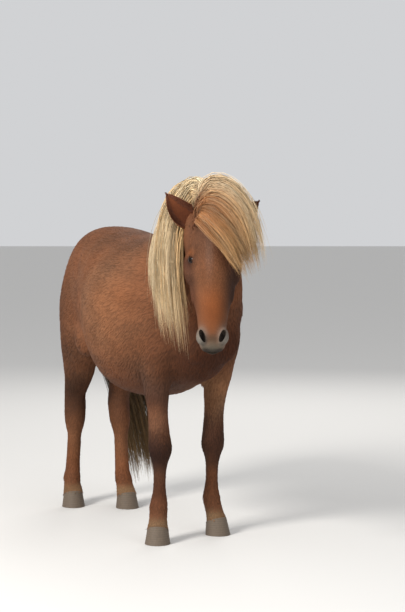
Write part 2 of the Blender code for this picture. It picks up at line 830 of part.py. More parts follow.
def carve_head(head, cutters):
    """Cuts the eye sockets, the nostrils and the line of the mouth."""
    axes = head_axes()
    for name, sign in SIDES.items():
        side, along, front = EYE_PLACE
        centre = on_head(sign * side, along, front)
        out = head_direction(sign * 0.86, -0.02, 0.50).normalized()
        long_way = head_direction(-sign * 0.42, 0.82, 0.30)
        long_way = (long_way - out * long_way.dot(out)).normalized()
        almond(f"lids_{name}", centre, out, long_way, *EYE_OPENING, cutters)
        combine_group(head, cutters, "DIFFERENCE")
        bpy.ops.mesh.primitive_uv_sphere_add(segments=14, ring_count=9, radius=EYE_RADIUS + GAP)
        socket = bpy.context.object
        socket.data.transform(Matrix.Translation(centre))
        combine(head, socket, "DIFFERENCE")
        remove([socket])
        side, along, front = NOSTRIL_PLACE
        slant = head_direction(-sign * math.sin(NOSTRIL_SLANT), math.cos(NOSTRIL_SLANT), -0.12)
        across = slant.cross(axes[2]).normalized()
        deep = across.cross(slant).normalized()
        pit = ellipsoid(
            "nostril", on_head(sign * side, along, front), NOSTRIL_RADII, (across, slant, deep), cutters, 18
        )
        combine(head, pit, "DIFFERENCE")
        remove([pit])
    for low, high, inner, outer in ((0.590, 0.70, 0.0, 0.1), (0.520, 0.70, 0.045, 0.1)):
        for sign in SIDES.values():
            planes = [
                (on_head(0, low, 0), -axes[1]),
                (on_head(0, high, 0), axes[1]),
                (on_head(sign * inner, 0, 0), -axes[0] * sign),
                (on_head(sign * outer, 0, 0), axes[0] * sign),
                (on_head(0, 0, MOUTH_FRONT + MOUTH_GAP / 2), axes[2]),
                (on_head(0, 0, MOUTH_FRONT - MOUTH_GAP / 2), -axes[2]),
            ]
            lips = block("lips", planes, cutters)
            combine(head, lips, "DIFFERENCE")
            remove([lips])
    keep_largest(head)


def ear(name, sign, horse):
    """A leaf-shaped shell, curled to a tube at its root and open to the front."""
    side, along, front = EAR_ROOT
    root = on_head(sign * side, along, front)
    tip_side, tip_along, tip_front = EAR_TIP[name]
    tip = on_head(sign * tip_side, tip_along, tip_front)
    axis = tip - root
    facing = head_direction(sign * 0.10, 0, 1)
    facing = (facing - axis.normalized() * facing.dot(axis.normalized())).normalized()
    across = axis.normalized().cross(facing).normalized()
    rows, columns = 9, 8
    rings = []
    for i in range(rows):
        t = i / (rows - 1)
        shape = math.sin(math.pi * (0.24 + 0.76 * t) ** 0.92) ** 0.75
        width = EAR_WIDTH / 2 * max(shape, 0.20)
        curl = math.radians(112 - 62 * t)
        open_half = math.sin(min(curl, math.pi / 2))
        middle = root + axis * t + across * (sign * 0.012 * math.sin(math.pi * t))
        outer, inner = [], []
        for j in range(columns):
            angle = curl * (2 * j / (columns - 1) - 1)
            way = across * (math.sin(angle) / open_half) - facing * (0.75 * math.cos(angle))
            wall = min(EAR_WALL, width * 0.5) * (0.25 + 0.75 * math.cos(angle / curl * math.pi / 2))
            rim = middle + facing * (0.75 * math.cos(curl) * width)
            outer.append(rim + way * width)
            inner.append(rim + way * (width - wall))
        rings.append(outer + inner[::-1])
    count = 2 * columns
    points = [point for ring in rings for point in ring]
    faces = [tuple(range(count)), tuple(range((rows - 1) * count, rows * count))]
    for i in range(rows - 1):
        for j in range(count):
            k = (j + 1) % count
            faces.append((i * count + j, i * count + k, (i + 1) * count + k, (i + 1) * count + j))
    return mesh_object(f"ear_{name}", points, faces, horse)


def eye(name, sign, horse):
    side, along, front = EYE_PLACE
    bpy.ops.mesh.primitive_uv_sphere_add(segments=14, ring_count=9, radius=EYE_RADIUS)
    made = bpy.context.object
    made.data.transform(Matrix.Translation(on_head(sign * side, along, front)))
    made.name = f"eye_{name}"
    for old in list(made.users_collection):
        old.objects.unlink(made)
    horse.objects.link(made)


class Lock(NamedTuple):
    """A lock of hair: where its middle line goes, its widest width and its thickness."""

    path: list
    width: float
    thickness: float
    flat_way: Vector


def bent_line(points, steps):
    """Points on a smooth curve through a few points."""
    fine = curve_through(points, 8)
    picks = [round(i * (len(fine) - 1) / steps) for i in range(steps + 1)]
    return [Vector(fine[i]) for i in picks]


def clear_line(tree, path, clearance):
    """The line moved clear of the surface beyond its root, with no two points close together."""
    free = [path[0]]
    for point in path[1:]:
        moved = clear_of(tree, point, clearance)
        if (moved - free[-1]).length > MIN_STEP:
            free.append(moved)
    return free


def clear_of(tree, point, clearance):
    """The point itself, or the nearest place that is clear of the surface."""
    found, normal, _, distance = tree.find_nearest(point)
    inside = (point - found).dot(normal) < 0
    if inside or distance < clearance:
        return found + normal * clearance
    return point


def add_lock(lock, name, home):
    """A flat tapered lock with four edges along it."""
    path = lock.path
    last = len(path) - 1
    points, faces = [], []
    for i in range(last + 1):
        share = i / last
        along = (path[min(i + 1, last)] - path[max(i - 1, 0)]).normalized()
        thin = (lock.flat_way - along * lock.flat_way.dot(along)).normalized()
        wide = along.cross(thin)
        swell = (0.62 + 0.38 * math.sin(math.pi * min(1.0, share * 1.5))) * (1 - share**2.2)
        half_wide = lock.width / 2 * swell + TIP_WIDTH / 2
        half_thick = lock.thickness / 2 * (1 - share) + TIP_WIDTH / 2
        for way, reach in ((wide, half_wide), (thin, half_thick), (-wide, half_wide), (-thin, half_thick)):
            points.append(path[i] + way * reach)
    for i in range(last):
        for j in range(4):
            k = (j + 1) % 4
            faces.append((i * 4 + j, i * 4 + k, i * 4 + 4 + k, i * 4 + 4 + j))
    faces += [(0, 1, 2, 3), tuple(range(last * 4, last * 4 + 4))]
    return mesh_object(name, points, faces, home)


def fuse_locks(name, locks, cutters, neighbours):
    """Joins the locks into one form and trims it clear of its neighbours."""
    bundle = group(f"{name}_locks")
    pieces = [add_lock(lock, f"{name}_{i}", bundle) for i, lock in enumerate(locks)]
    fused = join_all(f"{name}_hair", pieces, cutters)
    remove(pieces)
    fuse(fused, HAIR_VOXEL)
    thin_out(fused, HAIR_TRIANGLES[name])
    for neighbour in neighbours:
        shaggy = neighbour.name.startswith(("neck", "ear"))
        larger = grown(neighbour, cutters, SHAGGY_GAP if shaggy else HAIR_GAP)
        if shaggy:
            fuse(larger, HAIR_VOXEL)
        combine(fused, larger, "DIFFERENCE")
        remove([larger])
    return fused


def neck_place(share):
    """The crest of the neck, its leftward direction and how far it has turned: 0 at the withers, 1 at the poll."""
    rows = [[*at(*top), *at(math.cos(HEAD_TURN * turned), math.sin(HEAD_TURN * turned), 0)]
            for top, _, _, turned in NECK]
    line = curve_through(rows, 8)
    row = line[round(share * (len(line) - 1))]
    return Vector(row[0:3]), Vector(row[3:6]).normalized()


def mane_locks(tree, chance):
    """Locks from the crest, over to the right side of the neck and down."""
    locks = []
    up = Vector((0, 0, 1))
    for layer, (count, rise, spread, thick) in enumerate(MANE_LAYERS):
        for i in range(count):
            share = (i + 0.5 + chance.uniform(-0.3, 0.3)) / count
            crest, left = neck_place(MANE_FIRST + (MANE_LAST - MANE_FIRST) * share)
            right = -left
            ahead = up.cross(right)
            near_poll = max(0.0, share - 0.35) / 0.65
            drop = 0.33 + 0.17 * share + chance.uniform(-0.05, 0.05)
            wide = spread + 0.010 * near_poll + chance.uniform(-0.018, 0.012)
            lift = rise * (0.35 + 0.75 * near_poll)
            stray = chance.uniform(-0.022, 0.022)
            marks = [
                crest - up * 0.030,
                crest + up * (lift * 0.75 + 0.01) + right * 0.010,
                crest + up * lift + right * wide * 0.40 + ahead * stray * 0.4,
                crest + right * wide * 0.80 - up * (0.055 - lift * 0.55) + ahead * stray * 0.8,
                crest + right * wide - up * (0.10 + drop * 0.36) + ahead * (0.010 + stray),
                crest + right * wide * 0.98 - up * (0.07 + drop * 0.74) + ahead * (0.035 + stray * 0.6),
                crest + right * wide * 0.90 - up * (0.06 + drop * 1.06) + ahead * (0.085 - stray),
            ]
            path = bent_line(marks, MANE_STEPS)
            off = 0.004 + thick * 0.6 + chance.uniform(0, 0.004)
            free = clear_line(tree, path, off)
            width = MANE_WIDTH * chance.uniform(0.80, 1.20)
            locks.append(Lock(free, width, thick, right + up * 0.3 + ahead * stray * 9))
    return locks


def forelock_locks(tree, chance):
    """A fan of locks from between the ears, blown over to the left side of the face."""
    low = [
        (-0.048, 0.090, 0.028),
        (-0.052, 0.060, 0.068),
        (-0.030, 0.112, 0.088),
        (0.020, 0.170, 0.092),
        (0.066, 0.222, 0.088),
        (0.116, 0.286, 0.066),
    ]
    high = [
        (-0.022, -0.010, -0.030),
        (-0.044, -0.066, 0.020),
        (0.000, -0.120, 0.045),
        (0.105, -0.092, 0.065),
        (0.182, 0.020, 0.070),
        (0.206, 0.236, 0.052),
    ]
    locks = []
    for layer, (count, lift, thick) in enumerate(FORELOCK_LAYERS):
        for i in range(count):
            share = (i + 0.5 + chance.uniform(-0.25, 0.25)) / count
            reach = chance.uniform(-0.030, 0.02)
            marks = []
            for step, (near, far) in enumerate(zip(low, high)):
                side, along, front = (a + (b - a) * share for a, b in zip(near, far))
                bulge = lift * min(1, step)
                fall = reach * max(0, step - 3) / 2
                marks.append(on_head(side, along + fall, front + bulge))
            path = bent_line(marks, FORELOCK_STEPS)
            off = 0.004 + thick * 0.6 + chance.uniform(0, 0.004)
            free = clear_line(tree, path, off)
            flat = head_direction(0.30 * share, -0.25, 1)
            locks.append(Lock(free, FORELOCK_WIDTH * chance.uniform(0.80, 1.20), thick, flat))
    return locks


def tail_locks(tree, chance):
    """Locks from the dock, which hang and blow to the horse's left."""
    locks = []
    for ring, (count, radius, reach) in enumerate(TAIL_RINGS):
        for i in range(count):
            angle = 2 * math.pi * (i + 0.5 * (ring % 2) + chance.uniform(-0.2, 0.2)) / count
            around = at(math.cos(angle), 0, math.sin(angle))
            outward = at(math.cos(angle), math.sin(angle) * 0.8, 0)
            root = at(0, -0.680, 1.190) + around * min(radius, 0.03) * 0.8
            foot = 1.13 - 1.07 * reach * chance.uniform(0.92, 1.0)
            marks = [
                root,
                at(0.008, -0.760, 1.165) + around * min(radius, 0.04) * 0.7,
                at(0.025, -0.800, 1.040) + outward * radius * 0.8,
                at(0.085, -0.780, 0.860) + outward * radius * 1.4,
                at(0.175, -0.735, 0.660) + outward * radius * 1.8,
                at(0.238, -0.700, 0.450) + outward * radius * 1.9,
                at(0.272, -0.680, 0.250) + outward * radius * 1.7,
                at(0.288, -0.668, foot) + outward * radius * 1.4,
            ]
            path = bent_line(marks, TAIL_STEPS)
            off = chance.uniform(0.010, 0.014)
            free = clear_line(tree, path, off)
            width = TAIL_WIDTH * chance.uniform(0.80, 1.20)
            locks.append(Lock(free, width, 0.016, around + outward))
    return locks


def without_flaps(faces):
    """The faces, less any two that lie back to back on the same three points."""
    corners = [frozenset(face) for face in faces]
    counts = {}
    for key in corners:
        counts[key] = counts.get(key, 0) + 1
    return [face for face, key in zip(faces, corners) if counts[key] == 1]


def crowded_edge(faces):
    """The first edge shared by more than two faces, with those faces, or nothing."""
    users = {}
    for index, face in enumerate(faces):
        for i in range(3):
            edge = (min(face[i], face[i - 1]), max(face[i], face[i - 1]))
            users.setdefault(edge, []).append(index)
    return min(((edge, found) for edge, found in users.items() if len(found) > 2), default=None)


def solid_pairs(points, faces, edge, users):
    """The faces round an edge in pairs that have hair between them, each with the middle way into the hair."""
    start, end = edge
    along = (points[end] - points[start]).normalized()
    first = along.orthogonal().normalized()
    second = along.cross(first)
    openers, closers = [], []
    for index in users:
        face = faces[index]
        far = next(corner for corner in face if corner not in edge)
        out = points[far] - points[start]
        angle = math.atan2(out.dot(second), out.dot(first))
        runs_on = face[(face.index(start) + 1) % 3] == end
        (closers if runs_on else openers).append((angle, index))
    pairs = []
    for angle, index in sorted(openers):
        turn, closer = min(((other[0] - angle) % (2 * math.pi), other) for other in closers)
        closers.remove(closer)
        middle = angle + turn / 2
        pairs.append((index, closer[1], first * math.cos(middle) + second * math.sin(middle)))
    return pairs


def part_touching(thing):
    """Where more than two faces meet on an edge, each pair gets an edge of its own, bent a little into the hair."""
    body = bmesh.new()
    body.from_mesh(thing.data)
    bmesh.ops.triangulate(body, faces=body.faces)
    points = [vertex.co.copy() for vertex in body.verts]
    faces = without_flaps([tuple(vertex.index for vertex in face.verts) for face in body.faces])
    body.free()
    found = crowded_edge(faces)
    for _ in range(MOST_BENDS):
        if not found:
            break
        (start, end), users = found
        middle = (points[start] + points[end]) / 2
        bend = min(BEND, (points[end] - points[start]).length / 4)
        for one, other, way in solid_pairs(points, faces, *found):
            points.append(middle + way * bend)
            fresh = len(points) - 1
            for index in (one, other):
                face = faces[index]
                faces[index] = tuple(fresh if corner == start else corner for corner in face)
                faces.append(tuple(fresh if corner == end else corner for corner in face))
        faces = without_flaps(faces)
        found = crowded_edge(faces)
    thing.data.clear_geometry()
    thing.data.from_pydata(points, [], faces)


def is_sound(thing):
    """Whether the surface is closed and simple."""
    body = bmesh.new()
    body.from_mesh(thing.data)
    sound = all(len(edge.link_faces) == 2 and edge.is_contiguous for edge in body.edges)
    body.free()
    return sound


def grow_hair(name, make_locks, flesh, others, tree, cutters):
    """Hair joined to the flesh it grows from, or by itself. It takes the first seed with a clean surface."""
    for seed in range(HAIR_SEED, HAIR_SEED + 8):
        hair = fuse_locks(name, make_locks(tree, random.Random(seed)), cutters, others)
        if flesh:
            combine(hair, flesh, "UNION")
        part_touching(hair)
        keep_largest(hair)
        if is_sound(hair):
            return hair
        remove([hair])
    raise RuntimeError(f"{name}: no seed gives a clean surface")


def ordered_faces(mesh):
    """The faces of a mesh in an order that depends only on where their corners are."""
    faces = []
    for face in mesh.polygons:
        corners = [(tuple(mesh.vertices[index].co), index) for index in face.vertices]
        start = corners.index(min(corners))
        faces.append(corners[start:] + corners[:start])
    return [[index for _, index in corners] for corners in sorted(faces)]


def add_hair(nodes, horse, cutters):
    """The mane joins the neck, the forelock joins the head, and the tail stands by itself."""
    solid = join_all("solid", nodes.values(), cutters)
    tree = BVHTree.FromPolygons([vertex.co for vertex in solid.data.vertices], ordered_faces(solid.data))
    remove([solid])
    plans = [
        ("mane", mane_locks, "neck", [name for name in nodes if name != "neck" and "hoof" not in name]),
        ("forelock", forelock_locks, "head", ["neck", "ear_right", "ear_left", "eye_right", "eye_left", "torso"]),
        ("tail", tail_locks, "tail", [name for name in nodes if name == "torso" or "hindleg" in name]),
    ]
    for name, make_locks, node, others in plans:
        flesh = nodes.get(node)
        grown_hair = grow_hair(name, make_locks, flesh, [nodes[other] for other in others], tree, cutters)
        if flesh:
            remove([flesh])
        cutters.objects.unlink(grown_hair)
        horse.objects.link(grown_hair)
        grown_hair.name = node
        nodes[node] = grown_hair


def colour_nodes(nodes):
    """Each node gets its own plain finish."""
    coat = (0.185, 0.075, 0.034)
    hair = (0.520, 0.380, 0.200)
    horn = (0.110, 0.095, 0.080)
    colours = {"eye": (0.012, 0.008, 0.006), "tail": hair, "fore_hoof": horn, "hind_hoof": horn}
    for name, node in nodes.items():
        found = [colour for start, colour in colours.items() if name.startswith(start)]
        finish = bpy.data.materials.new(f"{name}_finish")
        finish.use_nodes = True
        shader = finish.node_tree.nodes["Principled BSDF"]
        shader.inputs["Base Color"].default_value = (*(found[0] if found else coat), 1)
        shader.inputs["Roughness"].default_value = 0.15 if name.startswith("eye") else 0.7
        node.data.materials.clear()
        node.data.materials.append(finish)


def settle(nodes):
    """Moves the whole model so that it stands on the middle of its floor plan."""
    corners = [vertex.co for node in nodes.values() for vertex in node.data.vertices]
    low = [min(corner[axis] for corner in corners) for axis in range(2)]
    high = [max(corner[axis] for corner in corners) for axis in range(2)]
    shift = Vector((-(low[0] + high[0]) / 2, -(low[1] + high[1]) / 2, 0))
    for node in nodes.values():
        node.data.transform(Matrix.Translation(shift))
    print("The model moves by", [round(value, 5) for value in shift])


def main():
    clear_scene()
    horse = group("icelandic_horse")
    cutters = group("cutters")
    cutters.hide_render = True
    torso = body_flesh(horse)
    torso.name = "torso"
    head = head_flesh(horse)
    head.name = "head"
    part_legs(torso, horse, cutters)
    neck = part_neck(torso, horse, cutters)
    for point, normal in head_planes(0):
        bisect(head, point, normal)
    keep_largest(head)
    carve_head(head, cutters)
    for name, sign in SIDES.items():
        shell = ear(name, sign, horse)
        for flesh in (head, neck):
            larger = grown(flesh, cutters, GAP)
            combine(shell, larger, "DIFFERENCE")
            remove([larger])
        keep_largest(shell)
        eye(name, sign, horse)
    nodes = {thing.name: thing for thing in horse.objects}
    add_hair(nodes, horse, cutters)
    colour_nodes(nodes)
    settle(nodes)


main()
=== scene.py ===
"""The look of a life-size Icelandic horse, standing still in its winter coat.

One hide covers the whole animal. Short fur, the mane, the forelock and the tail are solid tufts and
strands that grow from it. A place on the horse is written (side, forward, up): side grows to its
left, forward to its nose, in metres. Places on the head are written (side, along, front).
"""

import logging
import math
from dataclasses import dataclass, fields
from enum import Enum
from typing import NamedTuple, Sequence

import bmesh
import bpy
import numpy as np
from mathutils import Matrix, Vector
from mathutils.bvhtree import BVHTree


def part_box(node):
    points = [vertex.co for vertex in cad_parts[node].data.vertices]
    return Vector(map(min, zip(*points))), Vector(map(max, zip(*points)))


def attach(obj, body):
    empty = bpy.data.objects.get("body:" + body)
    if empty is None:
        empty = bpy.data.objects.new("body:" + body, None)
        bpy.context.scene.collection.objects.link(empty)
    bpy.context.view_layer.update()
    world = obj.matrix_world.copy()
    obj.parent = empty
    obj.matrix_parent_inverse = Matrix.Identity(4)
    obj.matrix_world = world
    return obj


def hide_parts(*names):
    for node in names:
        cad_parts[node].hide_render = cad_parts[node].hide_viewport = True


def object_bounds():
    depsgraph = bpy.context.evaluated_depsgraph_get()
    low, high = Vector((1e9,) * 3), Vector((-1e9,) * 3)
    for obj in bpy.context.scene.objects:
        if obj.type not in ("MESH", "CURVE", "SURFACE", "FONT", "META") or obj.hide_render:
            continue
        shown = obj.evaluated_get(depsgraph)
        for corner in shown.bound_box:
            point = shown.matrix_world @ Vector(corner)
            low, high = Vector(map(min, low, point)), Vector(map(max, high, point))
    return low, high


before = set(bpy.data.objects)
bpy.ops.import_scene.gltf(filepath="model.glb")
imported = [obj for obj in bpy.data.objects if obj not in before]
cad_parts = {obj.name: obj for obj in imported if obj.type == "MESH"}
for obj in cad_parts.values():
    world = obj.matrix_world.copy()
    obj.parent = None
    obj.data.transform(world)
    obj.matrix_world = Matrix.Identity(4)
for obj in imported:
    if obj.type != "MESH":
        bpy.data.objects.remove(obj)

LOADED_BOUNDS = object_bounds()
logging.basicConfig(level=logging.INFO, format="%(message)s")
LOG = logging.getLogger("horse")

# Fineness of the hide, the seed of all chance, the waves in a blotch, the name of the colour layer, and
# how much the smoothing of the body works on the legs
BODY_VOXEL = 0.009
HEAD_VOXEL = 0.0042
BODY_SMOOTHING = 80
HEAD_SMOOTHING = 12
SEAM_SMOOTHING = 30
LOFT_SIDES = 32
LEG_SIDES = 24
SEED = 5
MOTTLE_WAVES = 7
TINT = "tint"
LEG_SOFTNESS = 0.12

# Long hair: the points along a strand, its corners, and the most strands in one mesh
STRAND_STEPS = 14
STRAND_CORNERS = 3
STRAND_MOST = 2300

# Stance: where the middle of each hoof stands, as (side, forward)
SIDES = {"right": -1, "left": 1}
FORE_HOOF = {"right": (-0.167, 0.431), "left": (0.167, 0.363)}
HIND_HOOF = {"right": (-0.108, -0.608), "left": (0.108, -0.451)}
FORE_TOE_OUT = {"right": math.radians(32.0), "left": math.radians(4.0)}
HIND_TOE_OUT = {"right": math.radians(16.0), "left": math.radians(-6.0)}

# Where the hooves of a square stance would stand, and the heights where a leg's step ends
FORE_SQUARE = 0.397
HIND_SQUARE = -0.529
FORE_SWING_TOP = 0.95
HIND_SWING_TOP = 1.05

# Head: where the poll is, how far the face turns to the horse's right, and how far the nose pokes out
POLL = (-0.140, 0.882, 1.468)
HEAD_TURN = math.radians(28.0)
FACE_TILT = math.radians(17.0)

# The two planes that part the head from the neck, and how far each skin reaches past them
NAPE_WAY = (0, -0.634, -0.773)
NAPE_PLACE = -0.030
THROAT_FRONT = -0.212
NECK_INTO_HEAD = 0.022
HEAD_INTO_NECK = 0.004

# Eyes, nostrils and mouth. The seat is where the eyeball sits in the finished head
EYE_RADIUS = 0.0215
LID_THICKNESS = 0.0055
EYE_PLACE = (0.0770, 0.230, -0.002)
EYE_SEAT = (0.0735, 0.230, 0.004)
EYE_OPENING = (0.0190, 0.0135)
OPENING_STEPS = 20
RIM_STEPS = 24
NOSTRIL_PLACE = (0.0400, 0.552, 0.0130)
NOSTRIL_RADII = (0.0128, 0.0315, 0.0250)
NOSTRIL_SLANT = math.radians(16.0)
MOUTH_FRONT = -0.0560
MOUTH_GAP = 0.0030
MOUTH_SLOTS = ((0.590, 0.0), (0.520, 0.045))
SOCKET_PLAY = 0.0006

# The lips are drawn up by a share of what lies beyond a place along the face
MUZZLE_START = 0.54
MUZZLE_SHARE = 0.20

EAR_ROOT = (0.064, 0.064, -0.020)
EAR_TIP = {"right": (0.189, -0.055, -0.010), "left": (0.190, -0.022, -0.010)}
EAR_WIDTH = 0.104
EAR_WALL = 0.0050
EAR_HOLLOW = 0.75
EAR_BEND = 0.012

HOOF_RADII = (0.0560, 0.0620)
HOOF_TOP_RADII = (0.0460, 0.0500)
HOOF_FRONT_HEIGHT = 0.080
HOOF_HEEL_HEIGHT = 0.048
HOOF_SETBACK = 0.014
HOOF_HEEL_SHARE = 0.86
HOOF_INTO_LEG = 0.004

LEFTWARD = Vector((1, 0, 0))
Thing = bpy.types.Object
Rows = np.ndarray
Chance = np.random.Generator
Colour = tuple[float, float, float]
Place = tuple[float, float, float]


class Trunk(NamedTuple):
    """A cross-section of the trunk at one place along the back."""

    forward: float
    top: float
    widest: float
    bottom: float
    half_width: float
    crown: float
    keel: float


class Slice(NamedTuple):
    """A level slice of a leg, measured from the middle of its hoof."""

    up: float
    forward: float
    half_depth: float
    half_width: float


class Face(NamedTuple):
    """A cross-section of the head: along the face, then out in front of that line and behind it."""

    along: float
    front: float
    back: float
    half_width: float
    widest: float
    upper: float
    lower: float


class Ring(NamedTuple):
    """One cross-section of a loft: an oval between two points, wider or narrower above and below."""

    top: Vector
    bottom: Vector
    lateral: Vector
    half_width: float
    widest: float = 0.5
    upper: float = 2.0
    lower: float = 2.0


class Limb(NamedTuple):
    """The two forelegs or the two hind legs: their form, and for each side how they stand."""

    kind: str
    slices: Sequence[Slice]
    hoof: dict[str, tuple[float, float]]
    toe_out: dict[str, float]
    square: float
    line: dict[str, tuple]
    swing_top: float


TRUNK = [
    Trunk(-0.748, 1.100, 1.040, 0.990, 0.040, 2.0, 2.0),
    Trunk(-0.722, 1.180, 1.030, 0.940, 0.100, 2.0, 2.0),
    Trunk(-0.666, 1.270, 1.025, 0.870, 0.136, 2.1, 2.0),
    Trunk(-0.568, 1.338, 1.035, 0.845, 0.172, 2.3, 2.0),
    Trunk(-0.441, 1.371, 1.050, 0.809, 0.200, 2.3, 2.0),
    Trunk(-0.314, 1.376, 1.060, 0.740, 0.222, 2.2, 2.1),
    Trunk(-0.196, 1.368, 1.029, 0.676, 0.258, 2.2, 2.2),
    Trunk(-0.078, 1.350, 0.980, 0.629, 0.294, 2.2, 2.3),
    Trunk(0.039, 1.338, 0.960, 0.606, 0.314, 2.2, 2.3),
    Trunk(0.157, 1.338, 0.960, 0.608, 0.308, 2.1, 2.2),
    Trunk(0.274, 1.360, 0.980, 0.635, 0.276, 1.9, 2.1),
    Trunk(0.372, 1.394, 1.009, 0.666, 0.238, 1.7, 2.1),
    Trunk(0.465, 1.403, 1.029, 0.691, 0.208, 1.6, 2.1),
    Trunk(0.555, 1.372, 1.029, 0.720, 0.172, 1.7, 2.1),
    Trunk(0.630, 1.274, 1.019, 0.779, 0.138, 1.9, 2.0),
    Trunk(0.680, 1.166, 1.000, 0.848, 0.106, 2.0, 2.0),
    Trunk(0.706, 1.068, 0.980, 0.906, 0.045, 2.0, 2.0),
]

# The neck's rings: top and under edge as (side, forward, up), half width, and how far it has turned
NECK = [
    ((0.000, 0.392, 1.372), (0.000, 0.530, 0.813), 0.170, 0.00),
    ((0.000, 0.470, 1.405), (0.000, 0.632, 0.872), 0.165, 0.05),
    ((-0.018, 0.549, 1.433), (-0.010, 0.690, 0.955), 0.152, 0.15),
    ((-0.049, 0.637, 1.460), (-0.031, 0.724, 1.045), 0.130, 0.35),
    ((-0.088, 0.725, 1.480), (-0.059, 0.752, 1.125), 0.110, 0.60),
    ((-0.120, 0.804, 1.488), (-0.084, 0.780, 1.186), 0.096, 0.85),
    ((-0.137, 0.860, 1.474), (-0.103, 0.812, 1.236), 0.084, 1.00),
    ((-0.147, 0.892, 1.441), (-0.118, 0.848, 1.290), 0.062, 1.00),
]

FORELEG = [
    Slice(0.030, -0.004, 0.052, 0.050),
    Slice(0.060, -0.006, 0.051, 0.049),
    Slice(0.080, -0.013, 0.047, 0.045),
    Slice(0.098, -0.024, 0.044, 0.042),
    Slice(0.116, -0.034, 0.043, 0.041),
    Slice(0.136, -0.044, 0.044, 0.041),
    Slice(0.160, -0.052, 0.047, 0.042),
    Slice(0.190, -0.054, 0.042, 0.036),
    Slice(0.243, -0.052, 0.036, 0.029),
    Slice(0.313, -0.049, 0.037, 0.031),
    Slice(0.357, -0.047, 0.045, 0.041),
    Slice(0.392, -0.046, 0.054, 0.053),
    Slice(0.425, -0.045, 0.055, 0.054),
    Slice(0.471, -0.048, 0.054, 0.049),
    Slice(0.554, -0.052, 0.057, 0.044),
    Slice(0.636, -0.052, 0.071, 0.050),
    Slice(0.700, -0.046, 0.087, 0.058),
    Slice(0.775, -0.026, 0.108, 0.068),
    Slice(0.860, 0.018, 0.128, 0.076),
    Slice(0.960, 0.050, 0.136, 0.078),
    Slice(1.060, 0.040, 0.118, 0.068),
    Slice(1.140, 0.018, 0.080, 0.050),
]

HINDLEG = [
    Slice(0.030, -0.004, 0.053, 0.050),
    Slice(0.060, -0.006, 0.053, 0.050),
    Slice(0.086, -0.021, 0.049, 0.047),
    Slice(0.112, -0.040, 0.044, 0.042),
    Slice(0.140, -0.056, 0.048, 0.043),
    Slice(0.175, -0.066, 0.044, 0.038),
    Slice(0.225, -0.070, 0.041, 0.036),
    Slice(0.300, -0.072, 0.041, 0.036),
    Slice(0.350, -0.075, 0.042, 0.037),
    Slice(0.410, -0.081, 0.056, 0.051),
    Slice(0.460, -0.088, 0.064, 0.053),
    Slice(0.504, -0.093, 0.071, 0.052),
    Slice(0.545, -0.086, 0.074, 0.050),
    Slice(0.593, -0.054, 0.086, 0.057),
    Slice(0.650, -0.018, 0.106, 0.066),
    Slice(0.720, 0.006, 0.140, 0.072),
    Slice(0.800, 0.038, 0.172, 0.084),
    Slice(0.900, 0.052, 0.196, 0.092),
    Slice(1.000, 0.054, 0.202, 0.094),
    Slice(1.100, 0.062, 0.174, 0.087),
    Slice(1.200, 0.056, 0.122, 0.061),
]

# Each leg's line above the fetlock, as (up, side) from the fetlock to the trunk
FORELEG_LINE = {
    "right": ((0.160, 0.136), (0.410, 0.128), (0.800, 0.138), (1.140, 0.095)),
    "left": ((0.160, 0.164), (0.410, 0.160), (0.620, 0.171), (0.720, 0.178), (0.820, 0.163),
             (1.140, 0.095)),
}
HINDLEG_LINE = {
    "right": ((0.140, 0.086), (0.500, 0.070), (0.800, 0.106), (1.200, 0.116)),
    "left": ((0.140, 0.114), (0.500, 0.121), (0.800, 0.130), (1.200, 0.120)),
}

LIMBS = (
    Limb("fore", FORELEG, FORE_HOOF, FORE_TOE_OUT, FORE_SQUARE, FORELEG_LINE, FORE_SWING_TOP),
    Limb("hind", HINDLEG, HIND_HOOF, HIND_TOE_OUT, HIND_SQUARE, HINDLEG_LINE, HIND_SWING_TOP),
)

HEAD = [
    Face(-0.030, -0.022, -0.105, 0.042, 0.50, 2.0, 2.0),
    Face(0.000, 0.002, -0.135, 0.062, 0.50, 2.0, 2.0),
    Face(0.050, 0.036, -0.160, 0.078, 0.50, 2.1, 2.0),
    Face(0.110, 0.058, -0.182, 0.091, 0.50, 2.2, 2.0),
    Face(0.170, 0.066, -0.198, 0.099, 0.48, 2.2, 2.1),
    Face(0.225, 0.066, -0.196, 0.103, 0.46, 2.1, 2.1),
    Face(0.285, 0.060, -0.178, 0.104, 0.45, 2.0, 2.0),
    Face(0.345, 0.052, -0.150, 0.092, 0.46, 2.0, 2.0),
    Face(0.405, 0.045, -0.124, 0.076, 0.48, 2.1, 1.9),
    Face(0.455, 0.039, -0.108, 0.064, 0.50, 2.2, 1.9),
    Face(0.510, 0.032, -0.100, 0.058, 0.50, 2.3, 2.0),
    Face(0.555, 0.021, -0.098, 0.056, 0.50, 2.3, 2.1),
    Face(0.590, 0.004, -0.092, 0.051, 0.50, 2.2, 2.2),
    Face(0.612, -0.020, -0.076, 0.036, 0.50, 2.0, 2.0),
]


def at(side: float, forward: float, up: float) -> Vector:
    """The point, before the model is centred, at a place on the horse."""
    return Vector((side, -forward, up))


def head_axes() -> tuple[Vector, Vector, Vector]:
    """The head's own directions: to its left, along the face to the nose, and out of the face."""
    facing = at(-math.sin(HEAD_TURN), math.cos(HEAD_TURN), 0)
    up = Vector((0, 0, 1))
    left = up.cross(facing)
    along = facing * math.sin(FACE_TILT) - up * math.cos(FACE_TILT)
    front = facing * math.cos(FACE_TILT) + up * math.sin(FACE_TILT)
    return left, along, front


def on_head(side: float, along: float, front: float) -> Vector:
    """The point, before the model is centred, at a place on the head."""
    axes = head_axes()
    return at(*POLL) + axes[0] * side + axes[1] * along + axes[2] * front


def head_direction(side: float, along: float, front: float) -> Vector:
    """A direction given in the head's own axes."""
    axes = head_axes()
    return (axes[0] * side + axes[1] * along + axes[2] * front).normalized()


